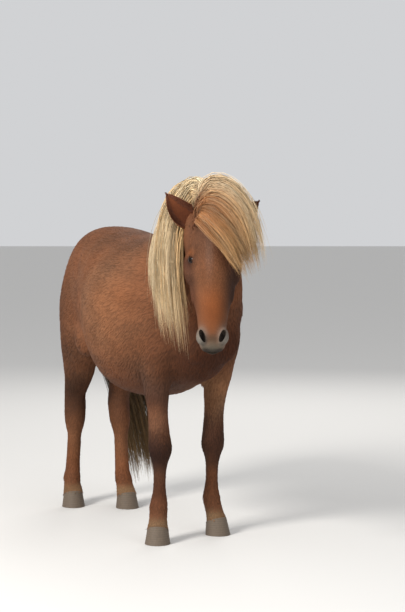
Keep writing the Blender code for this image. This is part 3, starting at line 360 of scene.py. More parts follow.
def eye_centre(sign: int) -> Vector:
    """The middle of an eyeball, before the model is centred: -1 for the right one, 1 for the left."""
    return on_head(sign * EYE_SEAT[0], *EYE_SEAT[1:])


def side_name(sign: int) -> str:
    """The name of a side: -1 is the right, 1 the left."""
    return "left" if sign > 0 else "right"


def curve_through(values: Sequence, steps: int) -> list[Rows]:
    """Rows of numbers on a smooth curve through the given rows.

    Args:
        values: the rows that the curve goes through.
        steps: how many rows to make between each pair.

    Returns:
        The rows, with the last given one at the end.
    """
    rows = np.array(values, float)
    padded = np.vstack([2 * rows[0] - rows[1], rows, 2 * rows[-1] - rows[-2]])
    found = []
    for i in range(len(rows) - 1):
        before, start, end, after = padded[i : i + 4]
        for step in range(steps):
            t = step / steps
            bend = 2 * before - 5 * start + 4 * end - after
            twist = 3 * start - before - 3 * end + after
            found.append(start + 0.5 * t * (end - before + t * (bend + t * twist)))
    found.append(rows[-1])
    return found


def unit(rows: Rows) -> Rows:
    """The rows scaled to length one."""
    return rows / np.maximum(np.linalg.norm(rows, axis=-1, keepdims=True), 1e-9)


def soft_step(low: float, high: float, values: Rows) -> Rows:
    """0 at the low value, 1 at the high one, and smooth between. The low value may be the greater."""
    t = np.clip((values - low) / (high - low), 0, 1)
    return t * t * (3 - 2 * t)


def mottle(points: Rows, size: float, seed: int) -> Rows:
    """Smooth blotches between about -1 and 1.

    Args:
        points: where to look.
        size: about how large the blotches are.
        seed: the seed of their chance.

    Returns:
        One value per point.
    """
    chance = np.random.default_rng(seed)
    total = np.zeros(len(points))
    for _ in range(MOTTLE_WAVES):
        way = unit(chance.normal(size=3)) * 2 * math.pi / (size * chance.uniform(1.4, 2.8))
        ripple = 1.3 * np.sin(points @ (way[::-1] * 0.6))
        total += np.sin(points @ way + chance.uniform(0, 6.28) + ripple)
    return total / 3.2


# Mesh helpers
class Bench:
    """Makes, changes and hands over mesh objects."""

    @staticmethod
    def from_rows(name: str, points: Rows, faces: Rows) -> Thing:
        """A mesh object from rows of points and of triangles or quads.

        Args:
            name: the object's name.
            points: one row per vertex.
            faces: one row of vertex numbers per face, all of one length.

        Returns:
            The object, linked to the scene.
        """
        mesh = bpy.data.meshes.new(name)
        count, sides = faces.shape
        mesh.vertices.add(len(points))
        mesh.vertices.foreach_set("co", np.ascontiguousarray(points, np.float32).ravel())
        mesh.loops.add(count * sides)
        mesh.loops.foreach_set("vertex_index", np.ascontiguousarray(faces, np.int32).ravel())
        mesh.polygons.add(count)
        mesh.polygons.foreach_set("loop_start", np.arange(0, count * sides, sides, dtype=np.int32))
        mesh.update(calc_edges=True)
        mesh.validate()
        return Bench.link(name, mesh)

    @staticmethod
    def link(name: str, data: bpy.types.ID) -> Thing:
        """A new object of the data, in the scene."""
        made = bpy.data.objects.new(name, data)
        bpy.context.scene.collection.objects.link(made)
        return made

    @classmethod
    def mesh(cls, name: str, points: Sequence, faces: Sequence) -> Thing:
        """A mesh object from unlike faces, turned to face out.

        Args:
            name: the object's name.
            points: its vertices.
            faces: the vertex numbers of each face.

        Returns:
            The object, linked to the scene.
        """
        mesh = bpy.data.meshes.new(name)
        mesh.from_pydata([tuple(point) for point in points], [], faces)
        body = bmesh.new()
        body.from_mesh(mesh)
        bmesh.ops.recalc_face_normals(body, faces=body.faces)
        body.to_mesh(mesh)
        body.free()
        return cls.link(name, mesh)

    @staticmethod
    def between_rings(rings: int, sides: int) -> list[tuple]:
        """The quads between rings of points that follow each other.

        Args:
            rings: how many rings there are.
            sides: how many points a ring has.

        Returns:
            The vertex numbers of each quad.
        """
        faces = []
        for i in range(rings - 1):
            for j in range(sides):
                k = (j + 1) % sides
                faces.append((i * sides + j, i * sides + k, (i + 1) * sides + k, (i + 1) * sides + j))
        return faces

    @staticmethod
    def pick(thing: Thing) -> None:
        """Makes the object the only selected one."""
        bpy.ops.object.select_all(action="DESELECT")
        thing.select_set(True)
        bpy.context.view_layer.objects.active = thing

    @classmethod
    def shade(cls, thing: Thing) -> None:
        """Shades the object smooth."""
        cls.pick(thing)
        bpy.ops.object.shade_smooth()

    @staticmethod
    def move(thing: Thing, points: Rows) -> None:
        """Moves the vertices to the points."""
        thing.data.vertices.foreach_set("co", points.astype(np.float32).ravel())
        thing.data.update()

    @classmethod
    def apply(cls, thing: Thing) -> None:
        """Applies the object's modifiers in order."""
        cls.pick(thing)
        for name in [modifier.name for modifier in thing.modifiers]:
            bpy.ops.object.modifier_apply(modifier=name)

    @classmethod
    def join(cls, things: Sequence[Thing], name: str) -> Thing:
        """Joins objects into the first one."""
        cls.pick(things[0])
        for thing in things:
            thing.select_set(True)
        bpy.ops.object.join()
        things[0].name = name
        return things[0]

    @classmethod
    def fuse(cls, thing: Thing, voxel: float) -> None:
        """Fuses overlapping closed forms into one skin."""
        change = thing.modifiers.new("fuse", "REMESH")
        change.mode = "VOXEL"
        change.voxel_size = voxel
        cls.apply(thing)

    @classmethod
    def soften(cls, thing: Thing, weights: dict[int, float], rounds: int) -> None:
        """Smooths a mesh.

        Args:
            thing: the mesh object.
            weights: how strongly it works on each vertex, 0 to 1, by vertex number.
            rounds: how often it is done.
        """
        soft = thing.vertex_groups.new(name="soft")
        for index, weight in weights.items():
            soft.add([index], weight, "REPLACE")
        change = thing.modifiers.new("soften", "SMOOTH")
        change.factor, change.iterations, change.vertex_group = 0.5, rounds, "soft"
        cls.apply(thing)
        thing.vertex_groups.clear()

    @classmethod
    def combine(cls, thing: Thing, other: Thing, operation: str) -> None:
        """Cuts or joins one closed form with another.

        Args:
            thing: the form that is changed.
            other: the form that cuts or joins it, and is then removed.
            operation: "DIFFERENCE" or "UNION".
        """
        change = thing.modifiers.new("combine", "BOOLEAN")
        change.operation = operation
        change.object = other
        change.solver = "MANIFOLD"
        cls.apply(thing)
        bpy.data.objects.remove(other)

    @staticmethod
    def bisect(thing: Thing, point: Vector, normal: Vector) -> None:
        """Keeps what lies behind a plane and closes the cut."""
        body = bmesh.new()
        body.from_mesh(thing.data)
        everything = body.verts[:] + body.edges[:] + body.faces[:]
        bmesh.ops.bisect_plane(
            body, geom=everything, dist=1e-7, plane_co=point, plane_no=normal, clear_outer=True
        )
        rim = [edge for edge in body.edges if edge.is_boundary]
        bmesh.ops.holes_fill(body, edges=rim, sides=0)
        bmesh.ops.triangulate(body, faces=[face for face in body.faces if len(face.verts) > 4])
        body.to_mesh(thing.data)
        body.free()

    @classmethod
    def block(cls, planes: Sequence) -> Thing:
        """A convex block between planes, each given by a point on it and the way out."""
        bpy.ops.mesh.primitive_cube_add(size=6.0)
        made = bpy.context.object
        for point, normal in planes:
            cls.bisect(made, point, normal)
        return made

    @staticmethod
    def ellipsoid(name: str, centre: Vector, radii: Sequence, axes: Sequence) -> Thing:
        """A round form.

        Args:
            name: the object's name.
            centre: its middle.
            radii: its three radii.
            axes: the directions of the radii.

        Returns:
            The object.
        """
        bpy.ops.mesh.primitive_uv_sphere_add(segments=28, ring_count=18, radius=1)
        made = bpy.context.object
        turn = Matrix([axis.normalized() for axis in axes]).transposed().to_4x4()
        made.data.transform(Matrix.Translation(centre) @ turn @ Matrix.Diagonal((*radii, 1)))
        if turn.determinant() < 0:
            made.data.flip_normals()
        made.name = name
        return made

    @staticmethod
    def ball(name: str, centre: Vector, radius: float, segments: int, rings: int) -> Thing:
        """A sphere.

        Args:
            name: the object's name.
            centre: its middle.
            radius: its radius.
            segments: how many faces go round it.
            rings: how many go from pole to pole.

        Returns:
            The object.
        """
        bpy.ops.mesh.primitive_uv_sphere_add(segments=segments, ring_count=rings, radius=radius)
        made = bpy.context.object
        made.name = name
        made.data.transform(Matrix.Translation(centre))
        return made

    @classmethod
    def loft(cls, name: str, rings: Sequence[Ring], sides: int = LOFT_SIDES) -> Thing:
        """A closed skin over smooth curves through the rings, with a fan at each end.

        Args:
            name: the object's name.
            rings: the cross-sections, in order.
            sides: how many points a ring gets.

        Returns:
            The object.
        """
        rows = [[*ring.top, *ring.bottom, *ring.lateral, *ring[3:]] for ring in rings]
        smooth = [
            Ring(Vector(row[0:3]), Vector(row[3:6]), Vector(row[6:9]).normalized(), *row[9:])
            for row in curve_through(rows, 3)
        ]
        points = [point for ring in smooth for point in cls.ring_points(ring, sides)]
        faces = cls.between_rings(len(smooth), sides)
        for start, ring in ((0, smooth[0]), ((len(smooth) - 1) * sides, smooth[-1])):
            points.append((ring.top + ring.bottom) / 2)
            hub = len(points) - 1
            faces += [(hub, start + j, start + (j + 1) % sides) for j in range(sides)]
        return cls.mesh(name, points, faces)

    @staticmethod
    def ring_points(ring: Ring, sides: int) -> list[Vector]:
        """The points round one ring, from its lateral side over its top.

        Args:
            ring: the cross-section.
            sides: how many points there are.

        Returns:
            The points in order.
        """
        axis = ring.top - ring.bottom
        middle = ring.bottom + axis * ring.widest
        points = []
        for step in range(sides):
            angle = 2 * math.pi * step / sides
            wide, high = math.cos(angle), math.sin(angle)
            power = 2 / (ring.upper if high > 0 else ring.lower)
            reach = (1 - ring.widest) if high > 0 else ring.widest
            out = math.copysign(abs(wide) ** power, wide) * ring.half_width
            rise = math.copysign(abs(high) ** power, high) * reach
            points.append(middle + ring.lateral * out + axis * rise)
        return points

    @staticmethod
    def read(thing: Thing) -> tuple[Rows, Rows, Rows]:
        """The points, triangles and vertex normals of a mesh."""
        mesh = thing.data
        mesh.calc_loop_triangles()
        points = np.empty((len(mesh.vertices), 3), np.float32)
        mesh.vertices.foreach_get("co", points.reshape(-1))
        faces = np.empty((len(mesh.loop_triangles), 3), np.int32)
        mesh.loop_triangles.foreach_get("vertices", faces.reshape(-1))
        normals = np.empty((len(mesh.vertices), 3), np.float32)
        mesh.vertex_normals.foreach_get("vector", normals.reshape(-1))
        return points.astype(float), faces, normals.astype(float)

    @staticmethod
    def paint(thing: Thing, colours: Rows) -> None:
        """Stores a colour at each vertex."""
        layer = thing.data.color_attributes.new(TINT, "FLOAT_COLOR", "POINT")
        full = np.ones((len(colours), 4), np.float32)
        full[:, :3] = colours
        layer.data.foreach_set("color", full.ravel())


# The animal's form
class Anatomy:
    """The overlapping forms that the hide is drawn over."""

    def trunk(self) -> Thing:
        """The barrel, from the breast to the buttocks."""
        rings = [
            Ring(
                at(0, cut.forward, cut.top),
                at(0, cut.forward, cut.bottom),
                LEFTWARD,
                cut.half_width,
                (cut.widest - cut.bottom) / (cut.top - cut.bottom),
                cut.crown,
                cut.keel,
            )
            for cut in TRUNK
        ]
        return Bench.loft("trunk", rings)

    def neck(self) -> Thing:
        """The neck, which turns to the right on its way to the poll."""
        rings = []
        for top, bottom, half_width, turned in NECK:
            yaw = HEAD_TURN * turned
            lateral = at(math.cos(yaw), math.sin(yaw), 0)
            rings.append(Ring(at(*top), at(*bottom), lateral, half_width, 0.42, 1.75, 2.1))
        return Bench.loft("neck", rings)

    def leg(self, limb: Limb, name: str) -> Thing:
        """One leg.

        Args:
            limb: the pair that it belongs to.
            name: "right" or "left".

        Returns:
            The closed loft.
        """
        sign, line, toe_out = SIDES[name], limb.line[name], limb.toe_out[name]
        fetlock = next(cut for cut in limb.slices if cut.up >= line[0][0])
        toe = Vector((sign * math.sin(toe_out), math.cos(toe_out)))
        heights, outs = zip(*line)
        settled = limb.square + fetlock.forward
        rings = []
        for cut in limb.slices:
            swing = max(0.0, min(1.0, (limb.swing_top - cut.up) / (limb.swing_top - fetlock.up)))
            share = min(1.0, cut.forward / fetlock.forward) if cut.up <= fetlock.up else 1.0
            foot = Vector(limb.hoof[name]) + toe * fetlock.forward * share
            side, forward = foot.x, foot.y
            if cut.up > fetlock.up:
                side = sign * float(np.interp(cut.up, heights, outs))
                forward = settled + (foot.y - settled) * swing + cut.forward - fetlock.forward
            front, back = (at(side, forward + way * cut.half_depth, cut.up) for way in (1, -1))
            rings.append(Ring(front, back, LEFTWARD, cut.half_width))
        return Bench.loft("leg", rings, LEG_SIDES)

    def legs(self) -> list[Thing]:
        """All four legs."""
        return [self.leg(limb, name) for name in SIDES for limb in LIMBS]

    def muscles(self) -> list[Thing]:
        """Shoulder, breast, haunch, hip, buttock and elbow on each side."""
        made = []
        for sign in SIDES.values():
            for (side, forward, up), radii, pitch in MUSCLES:
                turn = Matrix.Rotation(-math.radians(pitch), 3, "X")
                axes = [turn @ Vector(axis) for axis in ((1, 0, 0), (0, 1, 0), (0, 0, 1))]
                made.append(Bench.ellipsoid("muscle", at(sign * side, forward, up), radii, axes))
        return made

    def head(self) -> list[Thing]:
        """The skull, and the cheeks, brows, nostril wings, lips and chin on it."""
        axes = head_axes()
        rings = [
            Ring(on_head(0, cut.along, cut.front), on_head(0, cut.along, cut.back), axes[0],
                 cut.half_width, cut.widest, cut.upper, cut.lower)
            for cut in HEAD
        ]
        made = [Bench.loft("head", rings)]
        for sign in SIDES.values():
            for (side, along, front), radii in FACE_SWELLS:
                made.append(Bench.ellipsoid("swell", on_head(sign * side, along, front), radii, axes))
        for place, radii in LIP_SWELLS:
            made.append(Bench.ellipsoid("lip", on_head(*place), radii, axes))
        return made


# Each muscle of a side: its middle, its radii, and how far its front is raised, in degrees
MUSCLES = [
    ((0.112, 0.455, 1.080), (0.085, 0.110, 0.220), 62),
    ((0.140, 0.385, 0.905), (0.075, 0.105, 0.130), 30),
    ((0.070, 0.600, 0.910), (0.072, 0.085, 0.120), 0),
    ((0.145, 0.325, 0.800), (0.040, 0.048, 0.055), 0),
    ((0.098, -0.455, 1.080), (0.104, 0.185, 0.155), -18),
    ((0.165, -0.265, 1.220), (0.052, 0.080, 0.055), -20),
    ((0.078, -0.635, 1.020), (0.074, 0.090, 0.165), -10),
    ((0.150, -0.335, 0.850), (0.065, 0.085, 0.095), 0),
]

# Each swelling of a side of the head, as its middle and its radii, then those of lips and chin
FACE_SWELLS = [
    ((0.056, 0.215, -0.095), (0.054, 0.105, 0.090)),
    ((0.068, 0.196, 0.014), (0.024, 0.050, 0.032)),
    ((0.066, 0.228, -0.004), (0.031, 0.056, 0.044)),
    ((0.078, 0.315, -0.030), (0.016, 0.090, 0.018)),
    (EYE_SEAT, (EYE_RADIUS + LID_THICKNESS,) * 3),
    ((0.076, 0.252, -0.036), (0.046, 0.085, 0.038)),
    ((0.078, 0.130, -0.040), (0.042, 0.115, 0.046)),
    ((0.041, 0.550, 0.003), (0.026, 0.044, 0.026)),
    ((0.058, 0.066, -0.030), (0.030, 0.034, 0.034)),
]

LIP_SWELLS = [
    ((0, 0.582, -0.018), (0.046, 0.030, 0.032)),
    ((0, 0.590, -0.064), (0.033, 0.034, 0.022)),
    ((0, 0.562, -0.078), (0.036, 0.034, 0.026)),
]


class Land(Enum):
    """The parts of the animal that the coat is laid on piece by piece."""

    HEAD = "head"
    NECK = "neck"
    TRUNK = "trunk"
    FORE_RIGHT = "foreleg_right"
    FORE_LEFT = "foreleg_left"
    HIND_RIGHT = "hindleg_right"
    HIND_LEFT = "hindleg_left"


# Where one kind of coat passes into the next
LEG_HEIGHTS = (0.74, 0.60)
MUZZLE_ALONG = (0.30, 0.52)
FOOT_HEIGHTS = (0.20, 0.08)
LEG_LAND_TOP = 0.66
LEG_LAND_FORWARD = 0.20

# How deep the coat is on the trunk, the head and the legs, and how much less on muzzle and feet
TRUNK_DEPTH = 0.0060
HEAD_DEPTH = 0.0030
LEG_DEPTH = 0.0035
MUZZLE_THINNER = 0.75
FOOT_THINNER = 0.5


@dataclass
class Atlas:
    """Says what lies at each point: which part, the lie of the coat and its depth.

    Attributes:
        shift: how far the centred model has moved from the horse's own places.
    """

    shift: Vector

    def on_horse(self, points: Rows) -> tuple[Rows, Rows, Rows]:
        """Side, forward and up of each point."""
        return points[:, 0] - self.shift.x, self.shift.y - points[:, 1], points[:, 2]

    def in_head(self, points: Rows) -> tuple[Rows, Rows, Rows]:
        """Side, along and front of each point, in the head's own axes."""
        away = points - np.array(at(*POLL) + self.shift)
        return tuple(away @ np.array(axis) for axis in head_axes())

    def head_share(self, points: Rows) -> Rows:
        """1 on the head and 0 on the neck."""
        _, along, front = self.in_head(points)
        nape = (along - NAPE_PLACE) * NAPE_WAY[1] + (front - NAPE_PLACE) * NAPE_WAY[2]
        throat = THROAT_FRONT - front
        return soft_step(-0.030, 0.030, -np.maximum(nape, throat))

    def neck_share(self, points: Rows) -> Rows:
        """1 on the neck and head, 0 on the trunk."""
        _, forward, up = self.on_horse(points)
        ahead = ((forward - 0.575) * 0.40 + (up - 1.20) * 0.23) / 0.461
        return soft_step(-0.05, 0.05, ahead)

    def leg_share(self, points: Rows) -> Rows:
        """1 on the legs below the trunk."""
        return soft_step(*LEG_HEIGHTS, points[:, 2])

    def depth(self, points: Rows) -> Rows:
        """How far the hide lies under the outside of the coat."""
        head, leg = self.head_share(points), self.leg_share(points)
        muzzle = head * soft_step(*MUZZLE_ALONG, self.in_head(points)[1])
        foot = soft_step(*FOOT_HEIGHTS, points[:, 2])
        deep = TRUNK_DEPTH * (1 - head) * (1 - leg) + HEAD_DEPTH * head + LEG_DEPTH * leg * (1 - head)
        return deep * (1 - MUZZLE_THINNER * muzzle) * (1 - FOOT_THINNER * foot)

    def lie(self, points: Rows, normals: Rows) -> Rows:
        """The way that the coat lies at each point.

        Args:
            points: where to look.
            normals: the way out of the skin there.

        Returns:
            One direction per point, along the surface.
        """
        head, neck, leg = (share(points)[:, None] for share in
                           (self.head_share, self.neck_share, self.leg_share))
        flank = soft_step(1.25, 0.75, points[:, 2])[:, None]
        trunk = np.array(at(0, -1.0, 0)) + np.array(at(0, 0, -1.0)) * (0.25 + 0.75 * flank)
        mane = np.array(at(0, -0.45, -1.0)) * np.ones_like(points)
        _, along, front = head_axes()
        head_side, head_along, _ = self.in_head(points)
        cheek = soft_step(0.05, 0.09, np.abs(head_side)) * soft_step(0.42, 0.25, head_along)
        cheek = cheek[:, None]
        face = np.array(along) * (1 - 0.35 * cheek) - np.array(front) * 0.75 * cheek
        down = np.array(at(0, -0.18, -1.0)) * np.ones_like(points)
        way = trunk * (1 - neck) * (1 - leg) + mane * neck * (1 - head)
        way = way + face * head + down * leg * (1 - neck)
        return unit(way - normals * (way * normals).sum(1, keepdims=True))

    def land(self, points: Rows) -> Rows:
        """The part that each point belongs to, as an index into Land."""
        side, forward, up = self.on_horse(points)
        order = list(Land)
        found = np.full(len(points), order.index(Land.TRUNK))
        found[self.neck_share(points) > 0.5] = order.index(Land.NECK)
        found[self.head_share(points) > 0.5] = order.index(Land.HEAD)
        low = (up < LEG_LAND_TOP) & (found == order.index(Land.TRUNK))
        low &= np.abs(forward) > LEG_LAND_FORWARD
        for place, ahead, sign in ((Land.FORE_RIGHT, 1, -1), (Land.FORE_LEFT, 1, 1),
                                   (Land.HIND_RIGHT, -1, -1), (Land.HIND_LEFT, -1, 1)):
            found[low & (forward * ahead > 0) & (side * sign > 0)] = order.index(place)
        return found


# Colours
class Dab(NamedTuple):
    """A soft patch of colour: its middle, its radii, its colour and how much it covers."""

    middle: Place
    radii: Place
    colour: Colour
    cover: float


def linear(red: int, green: int, blue: int) -> Colour:
    """A light-linear colour from one given in 0 to 255 steps."""
    return tuple((value / 255) ** 2.2 for value in (red, green, blue))


def both_sides(dab: Dab) -> list[Dab]:
    """A patch on the left and its mirror image on the right."""
    side, *rest = dab.middle
    return [dab, dab._replace(middle=(-side, *rest))]


@dataclass
class MarkingsAndShading:
    """The coat's colour at each point: patches laid over a base, some of them painted shade and light, with
    faint blotches.

    Attributes:
        atlas: knows where each point is on the horse.
        base: the colour under the patches.
        tone: darkens all the colours.
        broad: the size and the seed of the broad blotches.
        fine: those of the fine ones.
        warm: those of the ones that are warmer or colder in hue.
    """

    atlas: Atlas
    base: Colour = linear(126, 82, 58)
    tone: Colour = (0.74, 0.74, 0.70)
    broad: tuple[float, int] = (0.22, 3)
    fine: tuple[float, int] = (0.055, 8)
    warm: tuple[float, int] = (0.12, 21)

    def at(self, points: Rows) -> Rows:
        """The colour of the coat at each point.

        Args:
            points: one row per point, in the centred model.

        Returns:
            One row of red, green and blue per point.
        """
        colour = np.ones_like(points) * np.array(self.base)
        places = np.stack(self.atlas.on_horse(points), axis=1)
        head = self.atlas.head_share(points)
        for dab in BODY_DABS:
            colour = self.cover(colour, places, dab, 1 - head)
        faces = np.stack(self.atlas.in_head(points), axis=1)
        for dab in FACE_DABS:
            colour = self.cover(colour, faces, dab, head)
        broad = mottle(points, *self.broad)[:, None]
        fine = mottle(points, *self.fine)[:, None]
        warm = mottle(points, *self.warm)[:, None] * np.array((0.05, 0.0, -0.05))
        return colour * np.array(self.tone) * np.clip(1 + 0.11 * broad + 0.08 * fine + warm, 0.5, 1.6)

    @staticmethod
    def cover(colour: Rows, places: Rows, dab: Dab, share: Rows) -> Rows:
        """Lays one soft patch over the colours.

        Args:
            colour: the colour at each point so far.
            places: where the points are, in the patch's own terms.
            dab: the patch.
            share: how much of the patch each point may take.

        Returns:
            The colours with the patch.
        """
        away = ((places - np.array(dab.middle)) / np.array(dab.radii)) ** 2
        weight = (dab.cover * np.exp(-away.sum(1) ** 1.5) * share)[:, None]
        return colour * (1 - weight) + np.array(dab.colour) * weight


# The patches on the body, as (side, forward, up), and on the head, as (side, along, front)
BODY_DABS = [
    Dab((0.0, 0.0, 1.42), (0.60, 1.00, 0.17), linear(102, 70, 52), 0.60),
    Dab((-0.30, 0.05, 1.02), (0.22, 0.30, 0.24), linear(140, 97, 71), 0.75),
    Dab((0.30, 0.05, 1.02), (0.22, 0.30, 0.24), linear(138, 96, 71), 0.60),
    Dab((0.0, 0.10, 0.58), (0.50, 0.60, 0.14), linear(78, 48, 34), 0.75),
    Dab((0.0, 0.10, 0.74), (0.50, 0.55, 0.12), linear(96, 62, 45), 0.55),
    # Painted shade on the breast
    Dab((0.0, 0.62, 0.84), (0.22, 0.24, 0.26), linear(64, 33, 19), 0.85),
    Dab((0.0, -0.60, 0.92), (0.40, 0.22, 0.30), linear(99, 65, 46), 0.65),
    Dab((-0.17, 0.40, 0.655), (0.14, 0.17, 0.085), linear(82, 58, 48), 0.85),
    Dab((-0.17, 0.40, 0.54), (0.14, 0.17, 0.060), linear(122, 84, 64), 0.75),
    # Painted light: the upper left foreleg lightened as if lit
    Dab((0.17, 0.36, 0.62), (0.12, 0.17, 0.13), linear(158, 112, 82), 0.85),
    Dab((-0.17, 0.38, 0.39), (0.14, 0.17, 0.10), linear(46, 29, 24), 0.95),
    Dab((0.17, 0.36, 0.40), (0.14, 0.16, 0.17), linear(71, 46, 36), 0.90),
    Dab((-0.17, 0.40, 0.23), (0.14, 0.17, 0.09), linear(80, 50, 36), 0.85),
    Dab((0.17, 0.34, 0.23), (0.14, 0.16, 0.09), linear(106, 68, 47), 0.80),
    Dab((0.0, -0.55, 0.50), (0.35, 0.25, 0.11), linear(86, 57, 42), 0.70),
    Dab((-0.17, -0.55, 0.56), (0.13, 0.25, 0.11), linear(56, 37, 26), 0.80),
    Dab((-0.17, -0.50, 0.74), (0.14, 0.20, 0.12), linear(80, 51, 34), 0.60),
    Dab((0.0, -0.60, 0.30), (0.35, 0.30, 0.12), linear(128, 83, 57), 0.75),
    Dab((0.0, 0.0, 0.150), (0.40, 1.10, 0.050), linear(108, 69, 48), 0.80),
    Dab((0.0, 0.0, 0.088), (0.40, 1.10, 0.026), linear(136, 108, 80), 0.80),
]

FACE_DABS = [
    Dab((0.0, 0.12, 0.05), (0.12, 0.14, 0.10), linear(92, 66, 53), 0.70),
    # Painted sheen: a pale grey streak along the ridge of the face
    Dab((-0.012, 0.26, 0.08), (0.018, 0.17, 0.05), linear(130, 102, 90), 0.60),
    # Painted shade on the left side of the face
    Dab((0.05, 0.30, 0.03), (0.035, 0.12, 0.05), linear(104, 70, 52), 0.50),
    Dab((0.0, 0.34, 0.06), (0.075, 0.10, 0.06), linear(130, 80, 52), 0.80),
    Dab((0.0, 0.45, 0.05), (0.050, 0.095, 0.06), linear(138, 80, 45), 0.88),
    # Painted shade on both cheeks, deeper on the left one
    Dab((0.092, 0.36, -0.02), (0.040, 0.19, 0.085), linear(54, 38, 34), 0.88),
    Dab((-0.094, 0.36, -0.02), (0.034, 0.17, 0.075), linear(80, 52, 42), 0.75),
    *both_sides(Dab((0.104, 0.238, -0.004), (0.022, 0.030, 0.030), linear(84, 52, 40), 0.70)),
    *both_sides(Dab((0.088, 0.200, 0.012), (0.026, 0.018, 0.034), linear(156, 94, 58), 0.80)),
    Dab((0.0, 0.50, -0.10), (0.09, 0.10, 0.06), linear(118, 74, 50), 0.60),
    # Painted shade in the eye sockets, round each eyeball
    *both_sides(Dab((0.078, 0.228, 0.004), (0.026, 0.028, 0.028), linear(46, 31, 26), 0.90)),
    *both_sides(Dab((0.048, 0.558, 0.008), (0.028, 0.048, 0.044), linear(138, 130, 122), 0.97)),
    # Dark inside the nostrils: partly the dark skin there, partly painted shade in the hollow
    *both_sides(Dab((0.040, 0.553, 0.0), (0.0125, 0.031, 0.020), linear(40, 34, 31), 0.95)),
    Dab((0.0, 0.565, 0.012), (0.024, 0.024, 0.040), linear(98, 78, 62), 0.80),
    Dab((0.0, 0.600, -0.03), (0.062, 0.026, 0.080), linear(128, 118, 104), 0.95),
    *both_sides(Dab((0.030, 0.596, -0.040), (0.026, 0.010, 0.034), linear(48, 39, 34), 0.85)),
    Dab((0.0, 0.604, -0.030), (0.054, 0.010, 0.050), linear(48, 39, 34), 0.90),
    # Painted shade along the line of the mouth
    Dab((0.0, 0.588, -0.056), (0.070, 0.040, 0.009), linear(42, 35, 30), 0.95),
    Dab((0.0, 0.588, -0.084), (0.050, 0.026, 0.022), linear(112, 98, 82), 0.85),
]


